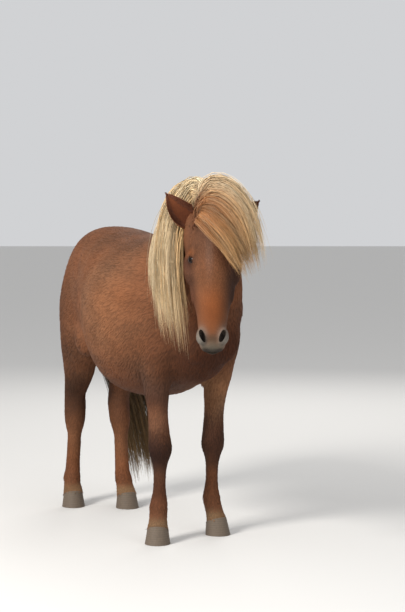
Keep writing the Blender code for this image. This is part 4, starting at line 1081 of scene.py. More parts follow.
# Hide, eyes, hooves and ears
@dataclass
class Hide:
    """The one skin over trunk, neck, head and legs, down to the hooves.

    Attributes:
        atlas: knows the coat's depth at each point.
        markings: gives the colour.
    """

    atlas: Atlas
    markings: MarkingsAndShading

    def body(self) -> Thing:
        """Trunk, neck and legs as one smooth skin, without the head."""
        anatomy = Anatomy()
        forms = [anatomy.trunk(), anatomy.neck(), *anatomy.legs(), *anatomy.muscles()]
        made = Bench.join(forms, "body")
        Bench.fuse(made, BODY_VOXEL)
        weights = {vertex.index: max(LEG_SOFTNESS, min(1.0, (vertex.co.z - 0.70) / 0.22))
                   for vertex in made.data.vertices}
        Bench.soften(made, weights, BODY_SMOOTHING)
        Bench.combine(made, Bench.block(self.head_planes(-NECK_INTO_HEAD)), "DIFFERENCE")
        for limb in LIMBS:
            for name, sign in SIDES.items():
                self.trim_foot(made, limb.hoof[name], limb.toe_out[name] * sign)
        return made

    @staticmethod
    def trim_foot(body: Thing, place: Sequence[float], angle: float) -> None:
        """Ends a leg just inside the top of its hoof.

        Args:
            body: the skin to cut.
            place: the middle of the sole, as (side, forward).
            angle: how far the toe points to the horse's left.
        """
        toe = at(math.sin(angle), math.cos(angle), 0)
        slope = HOOF_FRONT_HEIGHT - HOOF_HEEL_HEIGHT
        tilt = (toe * -slope + at(0, 0, 2 * HOOF_TOP_RADII[1])).normalized()
        middle = at(*place, 0) - toe * HOOF_SETBACK
        middle += at(0, 0, (HOOF_FRONT_HEIGHT + HOOF_HEEL_HEIGHT) / 2 - HOOF_INTO_LEG)
        planes = [(middle, tilt), (middle - at(0, 0, 0.2), at(0, 0, -1))]
        for way in (at(1, 0, 0), at(-1, 0, 0), at(0, 1, 0), at(0, -1, 0)):
            planes.append((middle + way * 0.09, way))
        Bench.combine(body, Bench.block(planes), "DIFFERENCE")

    @staticmethod
    def head_planes(more: float) -> list[tuple[Vector, Vector]]:
        """The two planes behind the head, moved back by a distance."""
        nape, throat = head_direction(*NAPE_WAY), head_direction(0, 0, -1)
        return [
            (on_head(0, NAPE_PLACE, NAPE_PLACE) + nape * more, nape),
            (on_head(0, 0, THROAT_FRONT) + throat * more, throat),
        ]

    def head(self) -> Thing:
        """The head with its sockets, nostrils and mouth."""
        anatomy = Anatomy()
        made = Bench.join([*anatomy.head(), anatomy.neck()], "head_skin")
        Bench.fuse(made, HEAD_VOXEL)
        Bench.soften(made, {vertex.index: 1.0 for vertex in made.data.vertices}, HEAD_SMOOTHING)
        for point, normal in self.head_planes(HEAD_INTO_NECK):
            Bench.bisect(made, point, normal)
        cutters = []
        for sign in SIDES.values():
            cutters += [*self.eye_cutters(sign), self.nostril(sign)]
        for cutter in cutters + self.mouth_cutters():
            Bench.combine(made, cutter, "DIFFERENCE")
        self.shorten_muzzle(made)
        return made

    @staticmethod
    def shorten_muzzle(made: Thing) -> None:
        """Draws the lips up towards the nostrils."""
        points, _, _ = Bench.read(made)
        down = np.array(head_axes()[1])
        along = (points - np.array(on_head(0, 0, 0))) @ down
        Bench.move(made, points - np.outer(np.maximum(0, along - MUZZLE_START) * MUZZLE_SHARE, down))

    @staticmethod
    def eye_cutters(sign: int) -> list[Thing]:
        """The opening between the lids, and the socket behind them."""
        centre = eye_centre(sign)
        rim = LidRim(sign)
        outline = rim.outline(OPENING_STEPS)
        inner = [centre + rim.long_way * x + rim.high_way * y for x, y in outline]
        outer = [point + rim.out * 0.06 for point in inner]
        count = len(outline)
        faces = [tuple(range(count)), tuple(range(count, 2 * count))]
        faces += Bench.between_rings(2, count)
        opening = Bench.mesh("opening", inner + outer, faces)
        return [opening, Bench.ball("socket", centre, EYE_RADIUS + SOCKET_PLAY, 40, 24)]

    @staticmethod
    def nostril(sign: int) -> Thing:
        """The hollow of a nostril, which slants towards the mouth."""
        side, along, front = NOSTRIL_PLACE
        slant = head_direction(-sign * math.sin(NOSTRIL_SLANT), math.cos(NOSTRIL_SLANT), -0.12)
        across = slant.cross(head_axes()[2]).normalized()
        deep = across.cross(slant).normalized()
        return Bench.ellipsoid("nostril", on_head(sign * side, along, front), NOSTRIL_RADII,
                               (across, slant, deep))

    @staticmethod
    def mouth_cutters() -> list[Thing]:
        """Thin blocks that open the line of the mouth across the front and along both sides."""
        axes = head_axes()
        made = []
        for start, inner in MOUTH_SLOTS:
            for sign in SIDES.values():
                made.append(Bench.block([
                    (on_head(0, start, 0), -axes[1]),
                    (on_head(0, 0.70, 0), axes[1]),
                    (on_head(sign * inner, 0, 0), -axes[0] * sign),
                    (on_head(sign * 0.1, 0, 0), axes[0] * sign),
                    (on_head(0, 0, MOUTH_FRONT + MOUTH_GAP / 2), axes[2]),
                    (on_head(0, 0, MOUTH_FRONT - MOUTH_GAP / 2), -axes[2]),
                ]))
        return made

    def build(self) -> Thing:
        """The finished hide, set in by the coat's depth and coloured."""
        made = self.body()
        Bench.combine(made, self.head(), "UNION")
        made.data.transform(Matrix.Translation(self.atlas.shift))
        points, _, _ = Bench.read(made)
        near = 1 - np.abs(self.atlas.head_share(points) * 2 - 1)
        seam = {int(index): float(near[index]) for index in np.nonzero(near > 0.02)[0]}
        Bench.soften(made, seam, SEAM_SMOOTHING)
        points, _, normals = Bench.read(made)
        points = points - normals * self.atlas.depth(points)[:, None]
        Bench.move(made, points)
        made.name = "hide"
        Bench.paint(made, self.markings.at(points))
        Bench.shade(made)
        LOG.info("hide: %d faces", len(made.data.polygons))
        return made


@dataclass(frozen=True)
class LidRim:
    """The edge of the two eyelids on one side.

    Attributes:
        sign: -1 for the right eye, 1 for the left.
    """

    sign: int

    @property
    def out(self) -> Vector:
        """The way that the eye looks."""
        return head_direction(self.sign * 0.72, -0.02, 0.69)

    @property
    def long_way(self) -> Vector:
        """From the back corner of the eye to the front one."""
        way = head_direction(-self.sign * 0.42, 0.82, 0.30)
        return (way - self.out * way.dot(self.out)).normalized()

    @property
    def high_way(self) -> Vector:
        """Across the opening."""
        return self.out.cross(self.long_way).normalized()

    def outline(self, steps: int) -> list[tuple[float, float]]:
        """The almond outline of the opening.

        Args:
            steps: how many marks each lid has.

        Returns:
            The marks, as (along, across).
        """
        half_long, half_high = EYE_OPENING
        found = []
        for sign in (1, -1):
            for step in range(steps):
                t = sign * (-1 + 2 * step / steps)
                found.append((t * half_long, sign * half_high * (1 - t * t) ** 0.8))
        return found

    def build(self, shift: Vector) -> Thing:
        """A dark, rounded edge on both lids, and a fold above the upper one."""
        centre = eye_centre(self.sign) + shift
        outline = self.outline(RIM_STEPS)
        above = [pair for pair in outline if pair[1] * self.upper > 0]
        edge = self.tube(centre, outline, 1.03, 0.0014, 0.0017)
        fold = self.tube(centre, above, 1.42, 0.0030, 0.0016)
        made = Bench.join([edge, fold], f"lids_{side_name(self.sign)}")
        Bench.shade(made)
        return made

    def tube(self, centre: Vector, outline: Sequence, widen: float, reach: float,
             thick: float) -> Thing:
        """A thin round tube over the eyeball.

        Args:
            centre: the middle of the eyeball.
            outline: the marks that it follows, as (along, across). A full outline makes a closed tube.
            widen: how much wider than the outline it runs.
            reach: how far it lies off the eyeball.
            thick: its radius.

        Returns:
            The mesh object.
        """
        curve = bpy.data.curves.new("lid", "CURVE")
        curve.dimensions = "3D"
        curve.bevel_depth = thick
        curve.bevel_resolution = 3
        line = curve.splines.new("POLY")
        line.points.add(len(outline) - 1)
        line.use_cyclic_u = len(outline) == 2 * RIM_STEPS
        for point, (along, across) in zip(line.points, outline):
            x, y = along * widen, across * widen
            far = math.sqrt(max(1e-6, (EYE_RADIUS + reach) ** 2 - x * x - y * y))
            point.co = (*(centre + self.out * far + self.long_way * x + self.high_way * y), 1)
        Bench.pick(Bench.link("lid", curve))
        bpy.ops.object.convert(target="MESH")
        return bpy.context.object

    @property
    def upper(self) -> int:
        """Which side of the outline is the upper lid."""
        return 1 if self.high_way.z > 0 else -1


@dataclass
class Eye:
    """An eyeball with a wide dark iris and a level, oblong pupil.

    Attributes:
        sign: -1 for the right eye, 1 for the left.
        shift: how far the centred model has moved.
        pupil: half the pupil's length and height, as shares of the eyeball's radius.
        rays: how many rays the iris has.
    """

    sign: int
    shift: Vector
    pupil: tuple[float, float] = (0.42, 0.20)
    rays: int = 24

    def build(self) -> Thing:
        """The eyeball, coloured from its pupil out to the edge of the iris."""
        centre = eye_centre(self.sign) + self.shift
        made = Bench.ball(f"eyeball_{side_name(self.sign)}", centre, EYE_RADIUS, 64, 40)
        points, _, _ = Bench.read(made)
        rim = LidRim(self.sign)
        away = (points - np.array(centre)) / EYE_RADIUS
        x, y, z = (away @ np.array(way) for way in (rim.long_way, rim.high_way, rim.out))
        reach = np.hypot(x, y)
        iris = soft_step(0.74, 0.66, reach) * (z > 0)
        pupil = soft_step(1.0, 0.8, np.hypot(x / self.pupil[0], y / self.pupil[1])) * (z > 0)
        rays = 0.5 + 0.5 * np.sin(np.arctan2(y, x) * self.rays)
        colour = np.array(linear(28, 22, 20)) * (1 - iris[:, None])
        colour = colour + np.array(linear(26, 16, 11)) * (iris * (0.7 + 0.3 * rays))[:, None]
        colour = colour * (1 - pupil[:, None]) + np.array(linear(8, 7, 9)) * pupil[:, None]
        Bench.paint(made, colour)
        Bench.shade(made)
        return made


@dataclass
class Hoof:
    """A hoof with rings of growth round its wall.

    Attributes:
        name: the CAD node that it stands for.
        place: the middle of the sole, as (side, forward).
        angle: how far the toe points to the horse's left.
        shift: how far the centred model has moved.
        sides: how many points a ring of the wall has.
        levels: how many rings the ribbed wall has.
        ribs: how often it swells and shrinks from sole to top, in radians.
    """

    name: str
    place: Sequence[float]
    angle: float
    shift: Vector
    sides: int = 64
    levels: int = 26
    ribs: float = 44

    def build(self) -> Thing:
        """The closed wall, top and sole."""
        rows = [(0.0, 0.0, 0.985), (0.004, 0.02, 1.0)]
        for share in np.linspace(0.06, 0.97, self.levels):
            rows.append((share, share, 1 - 0.010 * (0.5 + 0.5 * math.sin(share * self.ribs))))
        rows += [(1.0, 0.995, 0.97), (1.0, 0.998, 0.90)]
        points = [point for row in rows for point in self.ring(*row)]
        faces = [tuple(range(self.sides)), *Bench.between_rings(len(rows), self.sides)]
        faces.append(tuple(range(len(points) - self.sides, len(points))))
        made = Bench.mesh(f"{self.name}_wall", points, faces)
        Bench.pick(made)
        bpy.ops.object.shade_smooth_by_angle(angle=math.radians(50))
        return made

    def ring(self, share: float, rise: float, grow: float) -> list[Vector]:
        """One ring of the wall.

        Args:
            share: 0 for the outline of the sole, 1 for that of the top.
            rise: how high it lies, as a share of the wall's height.
            grow: how large it is beside that outline.

        Returns:
            Its points.
        """
        toe = at(math.sin(self.angle), math.cos(self.angle), 0)
        across = Vector((-toe.y, toe.x, 0))
        middle = at(*self.place, 0) + self.shift
        half_wide, half_deep = ((low + (high - low) * share) * grow
                                for low, high in zip(HOOF_RADII, HOOF_TOP_RADII))
        points = []
        for step in range(self.sides):
            turn = 2 * math.pi * step / self.sides
            ahead = math.cos(turn) * half_deep - HOOF_SETBACK * share
            blunt = 1.0 if math.cos(turn) > 0 else HOOF_HEEL_SHARE
            height = (HOOF_FRONT_HEIGHT + HOOF_HEEL_HEIGHT) / 2
            height += (HOOF_FRONT_HEIGHT - HOOF_HEEL_HEIGHT) / 2 * math.cos(turn)
            place = middle + toe * ahead * blunt + across * (math.sin(turn) * half_wide)
            points.append(place + Vector((0, 0, height * rise)))
        return points


@dataclass
class Ear:
    """A leaf-shaped shell, curled to a tube at its root and open to the front.

    Attributes:
        name: "right" or "left".
        shift: how far the centred model has moved.
        rows: how many rings it has from root to tip.
        columns: how many points go round a ring, outside and again inside.
        curl: how far it curls round at the root, and how much less at the tip, in degrees.
    """

    name: str
    shift: Vector
    rows: int = 30
    columns: int = 22
    curl: tuple[float, float] = (112, 62)

    def shape(self) -> tuple[list[Vector], list[Vector], Vector]:
        """Works out the shell.

        Returns:
            Its outer points and its inner ones, ring by ring, and the way that it faces.
        """
        sign = SIDES[self.name]
        root = on_head(sign * EAR_ROOT[0], *EAR_ROOT[1:]) + self.shift
        tip_side, tip_along, tip_front = EAR_TIP[self.name]
        axis = on_head(sign * tip_side, tip_along, tip_front) + self.shift - root
        facing = head_direction(sign * 0.10, 0, 1)
        facing = (facing - axis.normalized() * facing.dot(axis.normalized())).normalized()
        across = axis.normalized().cross(facing).normalized()
        outer, inner = [], []
        for i in range(self.rows):
            t = i / (self.rows - 1)
            shape = math.sin(math.pi * (0.24 + 0.76 * t) ** 0.92) ** 0.75
            width = EAR_WIDTH / 2 * max(shape, 0.06) - 0.0012
            curl = math.radians(self.curl[0] - self.curl[1] * t)
            open_half = math.sin(min(curl, math.pi / 2))
            middle = root + axis * t * 0.992 + across * (sign * EAR_BEND * math.sin(math.pi * t))
            for j in range(self.columns):
                angle = curl * (2 * j / (self.columns - 1) - 1)
                way = across * (math.sin(angle) / open_half) - facing * (EAR_HOLLOW * math.cos(angle))
                wall = min(EAR_WALL, width * 0.5) * (0.25 + 0.75 * math.cos(angle / curl * math.pi / 2))
                rim = middle + facing * (EAR_HOLLOW * math.cos(curl) * width)
                outer.append(rim + way * width)
                inner.append(rim + way * (width - wall))
        return outer, inner, facing

    def build(self) -> Thing:
        """The closed shell, darker inside, with painted shade deep in its hollow."""
        outer, inner, _ = self.shape()
        points, count = [], 2 * self.columns
        for i in range(self.rows):
            ring = slice(i * self.columns, (i + 1) * self.columns)
            points += outer[ring] + inner[ring][::-1]
        faces = [tuple(range(count)), tuple(range(len(points) - count, len(points)))]
        faces += Bench.between_rings(self.rows, count)
        made = Bench.mesh(f"ear_{self.name}_shell", points, faces)
        Bench.paint(made, np.array([self.colour(*divmod(index, count)) for index in range(len(points))]))
        Bench.shade(made)
        return made

    def colour(self, row: int, column: int) -> list[float]:
        """The colour at a point of the shell, where the second half of a row is the inner side."""
        t = row / (self.rows - 1)
        inside = column >= self.columns
        low, high = ((104, 59, 40), (140, 80, 50)) if inside else ((112, 66, 44), (142, 86, 56))
        edge = math.sin(math.pi * (column % self.columns) / (self.columns - 1))
        # Painted shade: the inner side darkens towards the middle of its hollow
        shade = (0.72 + 0.28 * (1 - edge)) if inside else 1.0
        return [(a + (b - a) * t) * shade for a, b in zip(linear(*low), linear(*high))]


# How large an item's patch is on the unrolled hide
PATCH_SIZE = 0.003

# A tuft has six points: root, left edge, top, right edge, underside and tip. These are its faces, the
# shares of out, leftward and ahead in the way each point faces, its painted shading (darker at the buried
# root and the underside as painted shade, a little lighter at the top and tip), and its places in its patch
TUFT_FACES = ((0, 2, 1), (0, 3, 2), (0, 4, 3), (0, 1, 4), (5, 1, 2), (5, 2, 3), (5, 3, 4), (5, 4, 1))
TUFT_FACING = ((1, 1, 1, 1, -1, 1), (0, 0.6, 0, -0.6, 0, 0), (0, 0, 0, 0, 0, 0.4))
TUFT_PAINTED_SHADING = (0.86, 1.0, 1.02, 1.0, 0.93, 1.06)
TUFT_PATCH = ((0.5, 0), (1, 0.5), (0.6, 0.5), (0, 0.5), (0.4, 0.5), (0.5, 1))

# No fur grows as near as this to the eyeballs, within these radii of the nostrils' middles, beyond this
# place along the face as near as this to the line of the mouth, or lower than this
BARE_EYE = 0.0062
BARE_NOSTRIL = (0.017, 0.031, 0.026)
BARE_LIPS = (0.53, 0.006)
BARE_FOOT = 0.058


# Fur and long hair
@dataclass
class Fleece:
    """Packs many small closed forms into meshes with colours and a map of where each one grows.

    Attributes:
        atlas: knows which part each root lies on.
    """

    atlas: Atlas

    def chart(self, roots: Rows) -> Rows:
        """Where each root lies on an unrolled hide, as rows of u and v between 0 and 1."""
        lands = self.atlas.land(roots)
        found = np.zeros((len(roots), 2))
        for index, land in enumerate(Land):
            own = lands == index
            if not own.any():
                continue
            centre, axis, reach = self.spindle(land)
            away = roots[own] - np.array(centre)
            axis = np.array(axis)
            side = unit(np.cross(axis, (0.0, 0.31, 0.95)) if abs(axis[2]) < 0.9 else np.array((1.0, 0, 0)))
            third = np.cross(axis, side)
            angle = np.arctan2(away @ third, away @ side)
            found[own, 0] = (index + 0.03 + 0.94 * (angle / (2 * math.pi) + 0.5)) / len(Land)
            found[own, 1] = np.clip(0.5 + (away @ axis) / reach, 0.004, 0.990)
        return found

    def spindle(self, land: Land) -> tuple[Vector, Vector, float]:
        """The middle, direction and length that a part's hide is unrolled round."""
        shift = self.atlas.shift
        if land is Land.HEAD:
            return on_head(0, 0.28, -0.06) + shift, head_direction(0, 1, 0), 1.0
        if land is Land.NECK:
            return at(-0.04, 0.72, 1.16) + shift, at(-0.05, 0.62, 0.78).normalized(), 1.3
        if land is Land.TRUNK:
            return at(0, -0.05, 0.98) + shift, at(0, 1, 0), 1.8
        fore = land in (Land.FORE_RIGHT, Land.FORE_LEFT)
        side = "right" if land in (Land.FORE_RIGHT, Land.HIND_RIGHT) else "left"
        place = (FORE_HOOF if fore else HIND_HOOF)[side]
        return at(place[0], place[1] - 0.01, 0.40) + shift, Vector((0, 0, 1)), 1.1

    def finish(self, made: Thing, colours: Rows, roots: Rows, per_item: int,
               offsets: Rows) -> None:
        """Adds the colours and the map to a mesh of equal items.

        Args:
            made: the mesh, whose vertices come item by item.
            colours: one row per vertex.
            roots: where each item grows.
            per_item: how many vertices an item has.
            offsets: the place of each of an item's vertices in its patch, 0 to 1 both ways.
        """
        Bench.paint(made, colours)
        chart = self.chart(roots)
        patches = np.tile(offsets - 0.5, (len(roots), 1)) * PATCH_SIZE
        full = np.repeat(chart, per_item, axis=0) + patches
        mesh = made.data
        layer = mesh.uv_layers.new(name="OFBake")
        corners = np.empty(len(mesh.loops), np.int32)
        mesh.loops.foreach_get("vertex_index", corners)
        layer.data.foreach_set("uv", full[corners].astype(np.float32).ravel())
        Bench.shade(made)


@dataclass
class Tufts:
    """Closed lens-shaped tufts, with one row of numbers for each.

    Attributes:
        roots: where it grows.
        normals: the way out of the skin there.
        lies: the way that it lies.
        long: its length.
        rise: how far it stands off, as a share of its length.
        wide: half its width.
        colours: its colour.
    """

    roots: Rows
    normals: Rows
    lies: Rows
    long: Rows
    rise: Rows
    wide: Rows
    colours: Rows

    def take(self, rows: Rows) -> "Tufts":
        """The tufts in the given rows."""
        return Tufts(*(getattr(self, item.name)[rows] for item in fields(self)))

    def build(self, name: str, fleece: Fleece) -> Thing:
        """Makes one mesh of the tufts.

        Args:
            name: the piece's name.
            fleece: adds the colours and the map.

        Returns:
            The mesh object.
        """
        roots, normals, lies = self.roots, self.normals, self.lies
        long, rise, wide = self.long[:, None], self.rise[:, None], self.wide[:, None]
        across = unit(np.cross(normals, lies))
        middle = roots + lies * long * 0.48 + normals * long * rise * 0.55
        thick = wide * 0.30
        points = np.stack([
            roots - normals * 0.0012 - lies * long * 0.06,
            middle + across * wide,
            middle + normals * thick,
            middle - across * wide,
            middle - normals * thick,
            roots + lies * long + normals * long * rise * 0.70,
        ], axis=1)
        count, corners = len(roots), points.shape[1]
        faces = (np.arange(count)[:, None, None] * corners + np.array(TUFT_FACES)[None]).reshape(-1, 3)
        made = Bench.from_rows(name, points.reshape(-1, 3), faces)
        out, left, ahead = np.array(TUFT_FACING)[:, None, :, None]
        facing = unit(normals[:, None] * out + across[:, None] * left + lies[:, None] * ahead)
        made.data.normals_split_custom_set_from_vertices(facing.reshape(-1, 3))
        # Painted shading: each tuft's colour is darkened at the root and underside, and lightened a little at
        # the top and tip
        full = (self.colours[:, None, :] * np.array(TUFT_PAINTED_SHADING)[None, :, None]).reshape(-1, 3)
        fleece.finish(made, full, roots, corners, np.array(TUFT_PATCH))
        LOG.info("%s: %d tufts", name, count)
        return made


@dataclass
class Coat:
    """The short fur: flat overlapping tufts that follow the lie of the coat.

    Attributes:
        hide: the skin that the tufts grow from.
        atlas: knows the lie and depth of the coat.
        markings: gives the colour.
        fleece: packs the tufts.
        count: how many tufts there are in all.
        most: how many a mesh holds at most.
    """

    hide: Thing
    atlas: Atlas
    markings: MarkingsAndShading
    fleece: Fleece
    count: int = 85000
    most: int = 24000

    def roots(self, chance: Chance) -> tuple[Rows, Rows]:
        """Random places on the hide, closer together where the fur is short.

        Args:
            chance: the source of the places.

        Returns:
            The places, and the way out of the skin at each.
        """
        points, faces, normals = Bench.read(self.hide)
        corners = points[faces]
        middles = corners.mean(1)
        edges = corners[:, 1:] - corners[:, :1]
        areas = np.linalg.norm(np.cross(edges[:, 0], edges[:, 1]), axis=1)
        weights = areas * (1 + 1.6 * self.atlas.head_share(middles) + 0.8 * self.atlas.leg_share(middles))
        weights *= self.allowed(middles)
        chosen = chance.choice(len(faces), self.count, p=weights / weights.sum())
        shares = chance.dirichlet((1, 1, 1), self.count)[:, :, None]
        places = (corners[chosen] * shares).sum(1)
        return places, unit((normals[faces[chosen]] * shares).sum(1))

    def allowed(self, points: Rows) -> Rows:
        """0 where no fur grows: inside the eyes, nostrils and mouth, and under the hooves' rims."""
        faces = np.stack(self.atlas.in_head(points), axis=1)
        grows = np.ones(len(points))
        for sign in SIDES.values():
            eye = np.array((sign * EYE_SEAT[0], *EYE_SEAT[1:]))
            grows[np.linalg.norm(faces - eye, axis=1) < EYE_RADIUS + BARE_EYE] = 0
            pit = np.array((sign * NOSTRIL_PLACE[0], *NOSTRIL_PLACE[1:]))
            grows[(((faces - pit) / np.array(BARE_NOSTRIL)) ** 2).sum(1) < 1] = 0
        start, near = BARE_LIPS
        grows[(faces[:, 1] > start) & (np.abs(faces[:, 2] - MOUTH_FRONT) < near)] = 0
        grows[points[:, 2] < BARE_FOOT] = 0
        return grows

    def length(self, points: Rows) -> Rows:
        """How long the fur is at each place."""
        head, neck, leg = (share(points) for share in
                           (self.atlas.head_share, self.atlas.neck_share, self.atlas.leg_share))
        _, along, front = self.atlas.in_head(points)
        _, forward, up = self.atlas.on_horse(points)
        between_legs = soft_step(0.78, 0.66, up) * soft_step(0.5, 0.2, np.abs(forward))
        belly = soft_step(0.80, 0.68, up) * (1 - leg) + between_legs
        muzzle = soft_step(0.25, 0.52, along)
        jaw = soft_step(-0.10, -0.18, front) * (1 - muzzle)
        body = 0.027 + 0.010 * np.clip(belly, 0, 1) + 0.004 * neck
        legs = 0.017 - 0.004 * soft_step(0.14, 0.08, up)
        face = 0.012 - 0.0075 * muzzle + 0.012 * jaw
        return (body * (1 - leg) + legs * leg) * (1 - head) + face * head

    def build(self) -> list[Thing]:
        """The tufts, as one joined mesh or more for each part of the body."""
        chance = np.random.default_rng(SEED)
        roots, normals = self.roots(chance)
        lies = self.atlas.lie(roots, normals)
        across = unit(np.cross(normals, lies))
        swirl = 0.10 * mottle(roots, 0.16, 31) + chance.normal(0, 0.10, self.count)
        lies = unit(lies * np.cos(swirl)[:, None] + across * np.sin(swirl)[:, None])
        long = self.length(roots) * chance.uniform(0.70, 1.30, self.count)
        rise = 0.072 + 0.012 * mottle(roots, 0.06, 40) + chance.normal(0, 0.018, self.count)
        rise = np.clip(rise, 0.02, 0.25) * (1 - 0.8 * soft_step(0.15, 0.09, roots[:, 2]))
        wide = np.clip(long * 0.125, 0.0008, 0.0033) * chance.uniform(0.7, 1.3, self.count)
        colours = self.markings.at(roots)
        colours = colours * np.exp(chance.normal(0, 0.06, self.count))[:, None]
        tufts = Tufts(roots, normals, lies, long, rise, wide, colours)
        lands = self.atlas.land(roots)
        made = []
        for index, land in enumerate(Land):
            own = np.nonzero(lands == index)[0]
            for start in range(0, len(own), self.most):
                part = tufts.take(own[start : start + self.most])
                made.append(part.build(f"fur_{land.value}_{start // self.most}", self.fleece))
        return made


# Long hair: how far off the hide is looked for, how clear of it locks and strands stay, how the points
# crowd towards the root, the cosine of the sharpest turn of a kept strand, the share of stray strands,
# how far the hair may leave the model's box, and how low it may hang
HIDE_SEARCH = 0.05
LOCK_CLEARANCE = 0.006
STRAND_CLEARANCE = 0.0035
ROOT_CROWDING = 1.75
SHARPEST_TURN = 0.62
STRAY_SHARE = 0.07
BOX_PLAY = 0.004
LOWEST_HAIR = 0.012

# The back of an ear and how far to each side hair stays behind it, the side of the cheek that the mane
# hangs beside, how near the neck its tips hang, and the palest hair
EAR_BACK = -0.066
EAR_BESIDE = 0.056
CHEEK_SIDE = -0.119
MANE_INNERMOST = 0.112
PALE_HAIR = linear(198, 178, 144)


@dataclass(frozen=True)
class Tresses:
    """What one bunch of long hair is made of.

    Attributes:
        name: the piece's name.
        strands: how many strands there are.
        per_clump: how many of them gather into one clump.
        width: half a strand's width in the middle.
        spread: how wide a lock fans out.
        thick: how thick a lock is.
        root: the colour at the root.
        middle: the colour at half length.
        tip: the colour at the tip.
        streak: how much the colour varies between clumps.
        shortest: the length of the shortest strands, as a share.
        behind_ear: whether it falls behind the right ear and beside the cheek.
    """

    name: str
    strands: int
    per_clump: int
    width: float
    spread: float
    thick: float
    root: Colour
    middle: Colour
    tip: Colour
    streak: float = 0.16
    shortest: float = 0.80
    behind_ear: bool = False


@dataclass
class LongHair:
    """Strands that hang in tapering clumps along guide lines.

    A strand has STRAND_STEPS points, and a mesh holds at most STRAND_MOST strands.

    Attributes:
        kind: the bunch's numbers and colours.
        atlas: holds the model's shift.
        tree: the hide, which the hair stays clear of.
        fleece: packs the strands.
    """

    kind: Tresses
    atlas: Atlas
    tree: BVHTree
    fleece: Fleece

    def guides(self, chance: Chance) -> tuple[Rows, Rows, Rows]:
        """Lays out the locks.

        Args:
            chance: the source of their differences.

        Returns:
            The marks of each lock's middle line, the way that it is flat against, and how pale it is.
        """
        raise NotImplementedError

    def clear(self, points: Rows, clearance: float) -> Rows:
        """Moves points clear of the hide, apart from the first two of each line.

        Args:
            points: the points of lines, with STRAND_STEPS each.
            clearance: how far off they stay.

        Returns:
            The moved points.
        """
        flat = points.reshape(-1, 3)
        found = flat.copy()
        for index, point in enumerate(flat):
            if index % STRAND_STEPS < 2:
                continue
            place, normal, _, distance = self.tree.find_nearest(Vector(point), HIDE_SEARCH)
            if place is None:
                continue
            inside = (Vector(point) - place).dot(normal) < 0
            if inside or distance < clearance:
                found[index] = place + normal * clearance
        return found.reshape(points.shape)

    @staticmethod
    def resample(lines: Rows) -> Rows:
        """Smooth lines of STRAND_STEPS points, closer together at the root, through rows of marks."""
        made = []
        for line in lines:
            fine = np.array(curve_through(line, 12))
            gaps = np.linalg.norm(np.diff(fine, axis=0), axis=1)
            reach = np.concatenate([[0], np.cumsum(gaps)])
            wanted = np.linspace(0, 1, STRAND_STEPS) ** ROOT_CROWDING * reach[-1]
            made.append(np.stack([np.interp(wanted, reach, fine[:, axis]) for axis in range(3)], axis=1))
        return np.array(made)

    def build(self) -> list[Thing]:
        """All the strands of the bunch, as a few meshes."""
        kind = self.kind
        chance = np.random.default_rng(SEED + len(kind.name))
        lines, flats, pale = self.guides(chance)
        lines = self.resample(lines) + np.array(self.atlas.shift)
        lines = self.smooth(self.clear(self.behind_ears(lines), LOCK_CLEARANCE + kind.thick * 0.4))
        clump_count = max(1, kind.strands // kind.per_clump)
        clump = np.arange(kind.strands) % clump_count
        lock = clump % len(lines)
        body = self.strands(lines, flats, clump_count, chance)
        body = self.clear(self.behind_ears(body), STRAND_CLEARANCE)
        body = self.behind_ears(self.smooth(self.behind_ears(body)))
        self.keep_in(body)
        even = self.without_corners(body)
        LOG.info("%s: %d strands of %d", kind.name, int(even.sum()), kind.strands)
        body, clump, lock = body[even], clump[even], lock[even]
        colours = self.colours(clump, clump_count, pale[lock], chance)
        made = []
        for start in range(0, len(body), STRAND_MOST):
            part = slice(start, start + STRAND_MOST)
            name = f"{kind.name}_{start // STRAND_MOST}"
            made.append(self.weave(name, body[part], colours[part], chance))
        return made

    def strands(self, lines: Rows, flats: Rows, clump_count: int, chance: Chance) -> Rows:
        """Scatters clumps over each lock, and strands over each clump.

        Args:
            lines: the middle line of each lock.
            flats: the way that each lock is flat against.
            clump_count: how many clumps there are.
            chance: the source of their differences.

        Returns:
            The points of each strand.
        """
        kind, count = self.kind, self.kind.strands
        clumps = (clump_count, 1, 1)
        t = np.linspace(0, 1, STRAND_STEPS)[None, :, None]
        ahead = unit(np.gradient(lines, axis=1))
        wides = unit(np.cross(ahead, np.repeat(flats[:, None, :], STRAND_STEPS, 1)))
        thins = unit(np.cross(wides, ahead))
        clump_lock = np.arange(clump_count) % len(lines)
        clump_wide = chance.uniform(-1, 1, clumps)
        clump_thin = chance.uniform(-1, 1, clumps)
        swell = kind.spread * (0.40 + 0.60 * np.sin(math.pi * np.minimum(0.78, t * 1.25)))
        phase = chance.uniform(0, 6.28, clumps)
        wave = 0.004 * np.sin(phase + t * chance.uniform(5, 11, clumps)) * t
        centre = lines[clump_lock] + wides[clump_lock] * (clump_wide * swell + wave)
        centre = centre + thins[clump_lock] * (clump_thin * kind.thick * (1 - 0.4 * t))
        centre = self.cut(centre, chance.uniform(kind.shortest, 1.02, clump_count))
        clump = np.arange(count) % clump_count
        lock = clump_lock[clump]
        gather = 1 - 0.72 * t**1.4
        across, deep = (chance.normal(0, 1, (count, 1, 1)) for _ in range(2))
        fan = kind.spread / math.sqrt(max(1, clump_count / len(lines))) * 0.9
        body = centre[clump] + wides[lock] * across * fan * gather + thins[lock] * deep * fan * 0.55 * gather
        stray = chance.random((count, 1, 1)) < STRAY_SHARE
        body = body + stray * chance.normal(0, 0.020, (count, 1, 3)) * t**2
        return self.cut(body, chance.uniform(kind.shortest, 1.0, count))

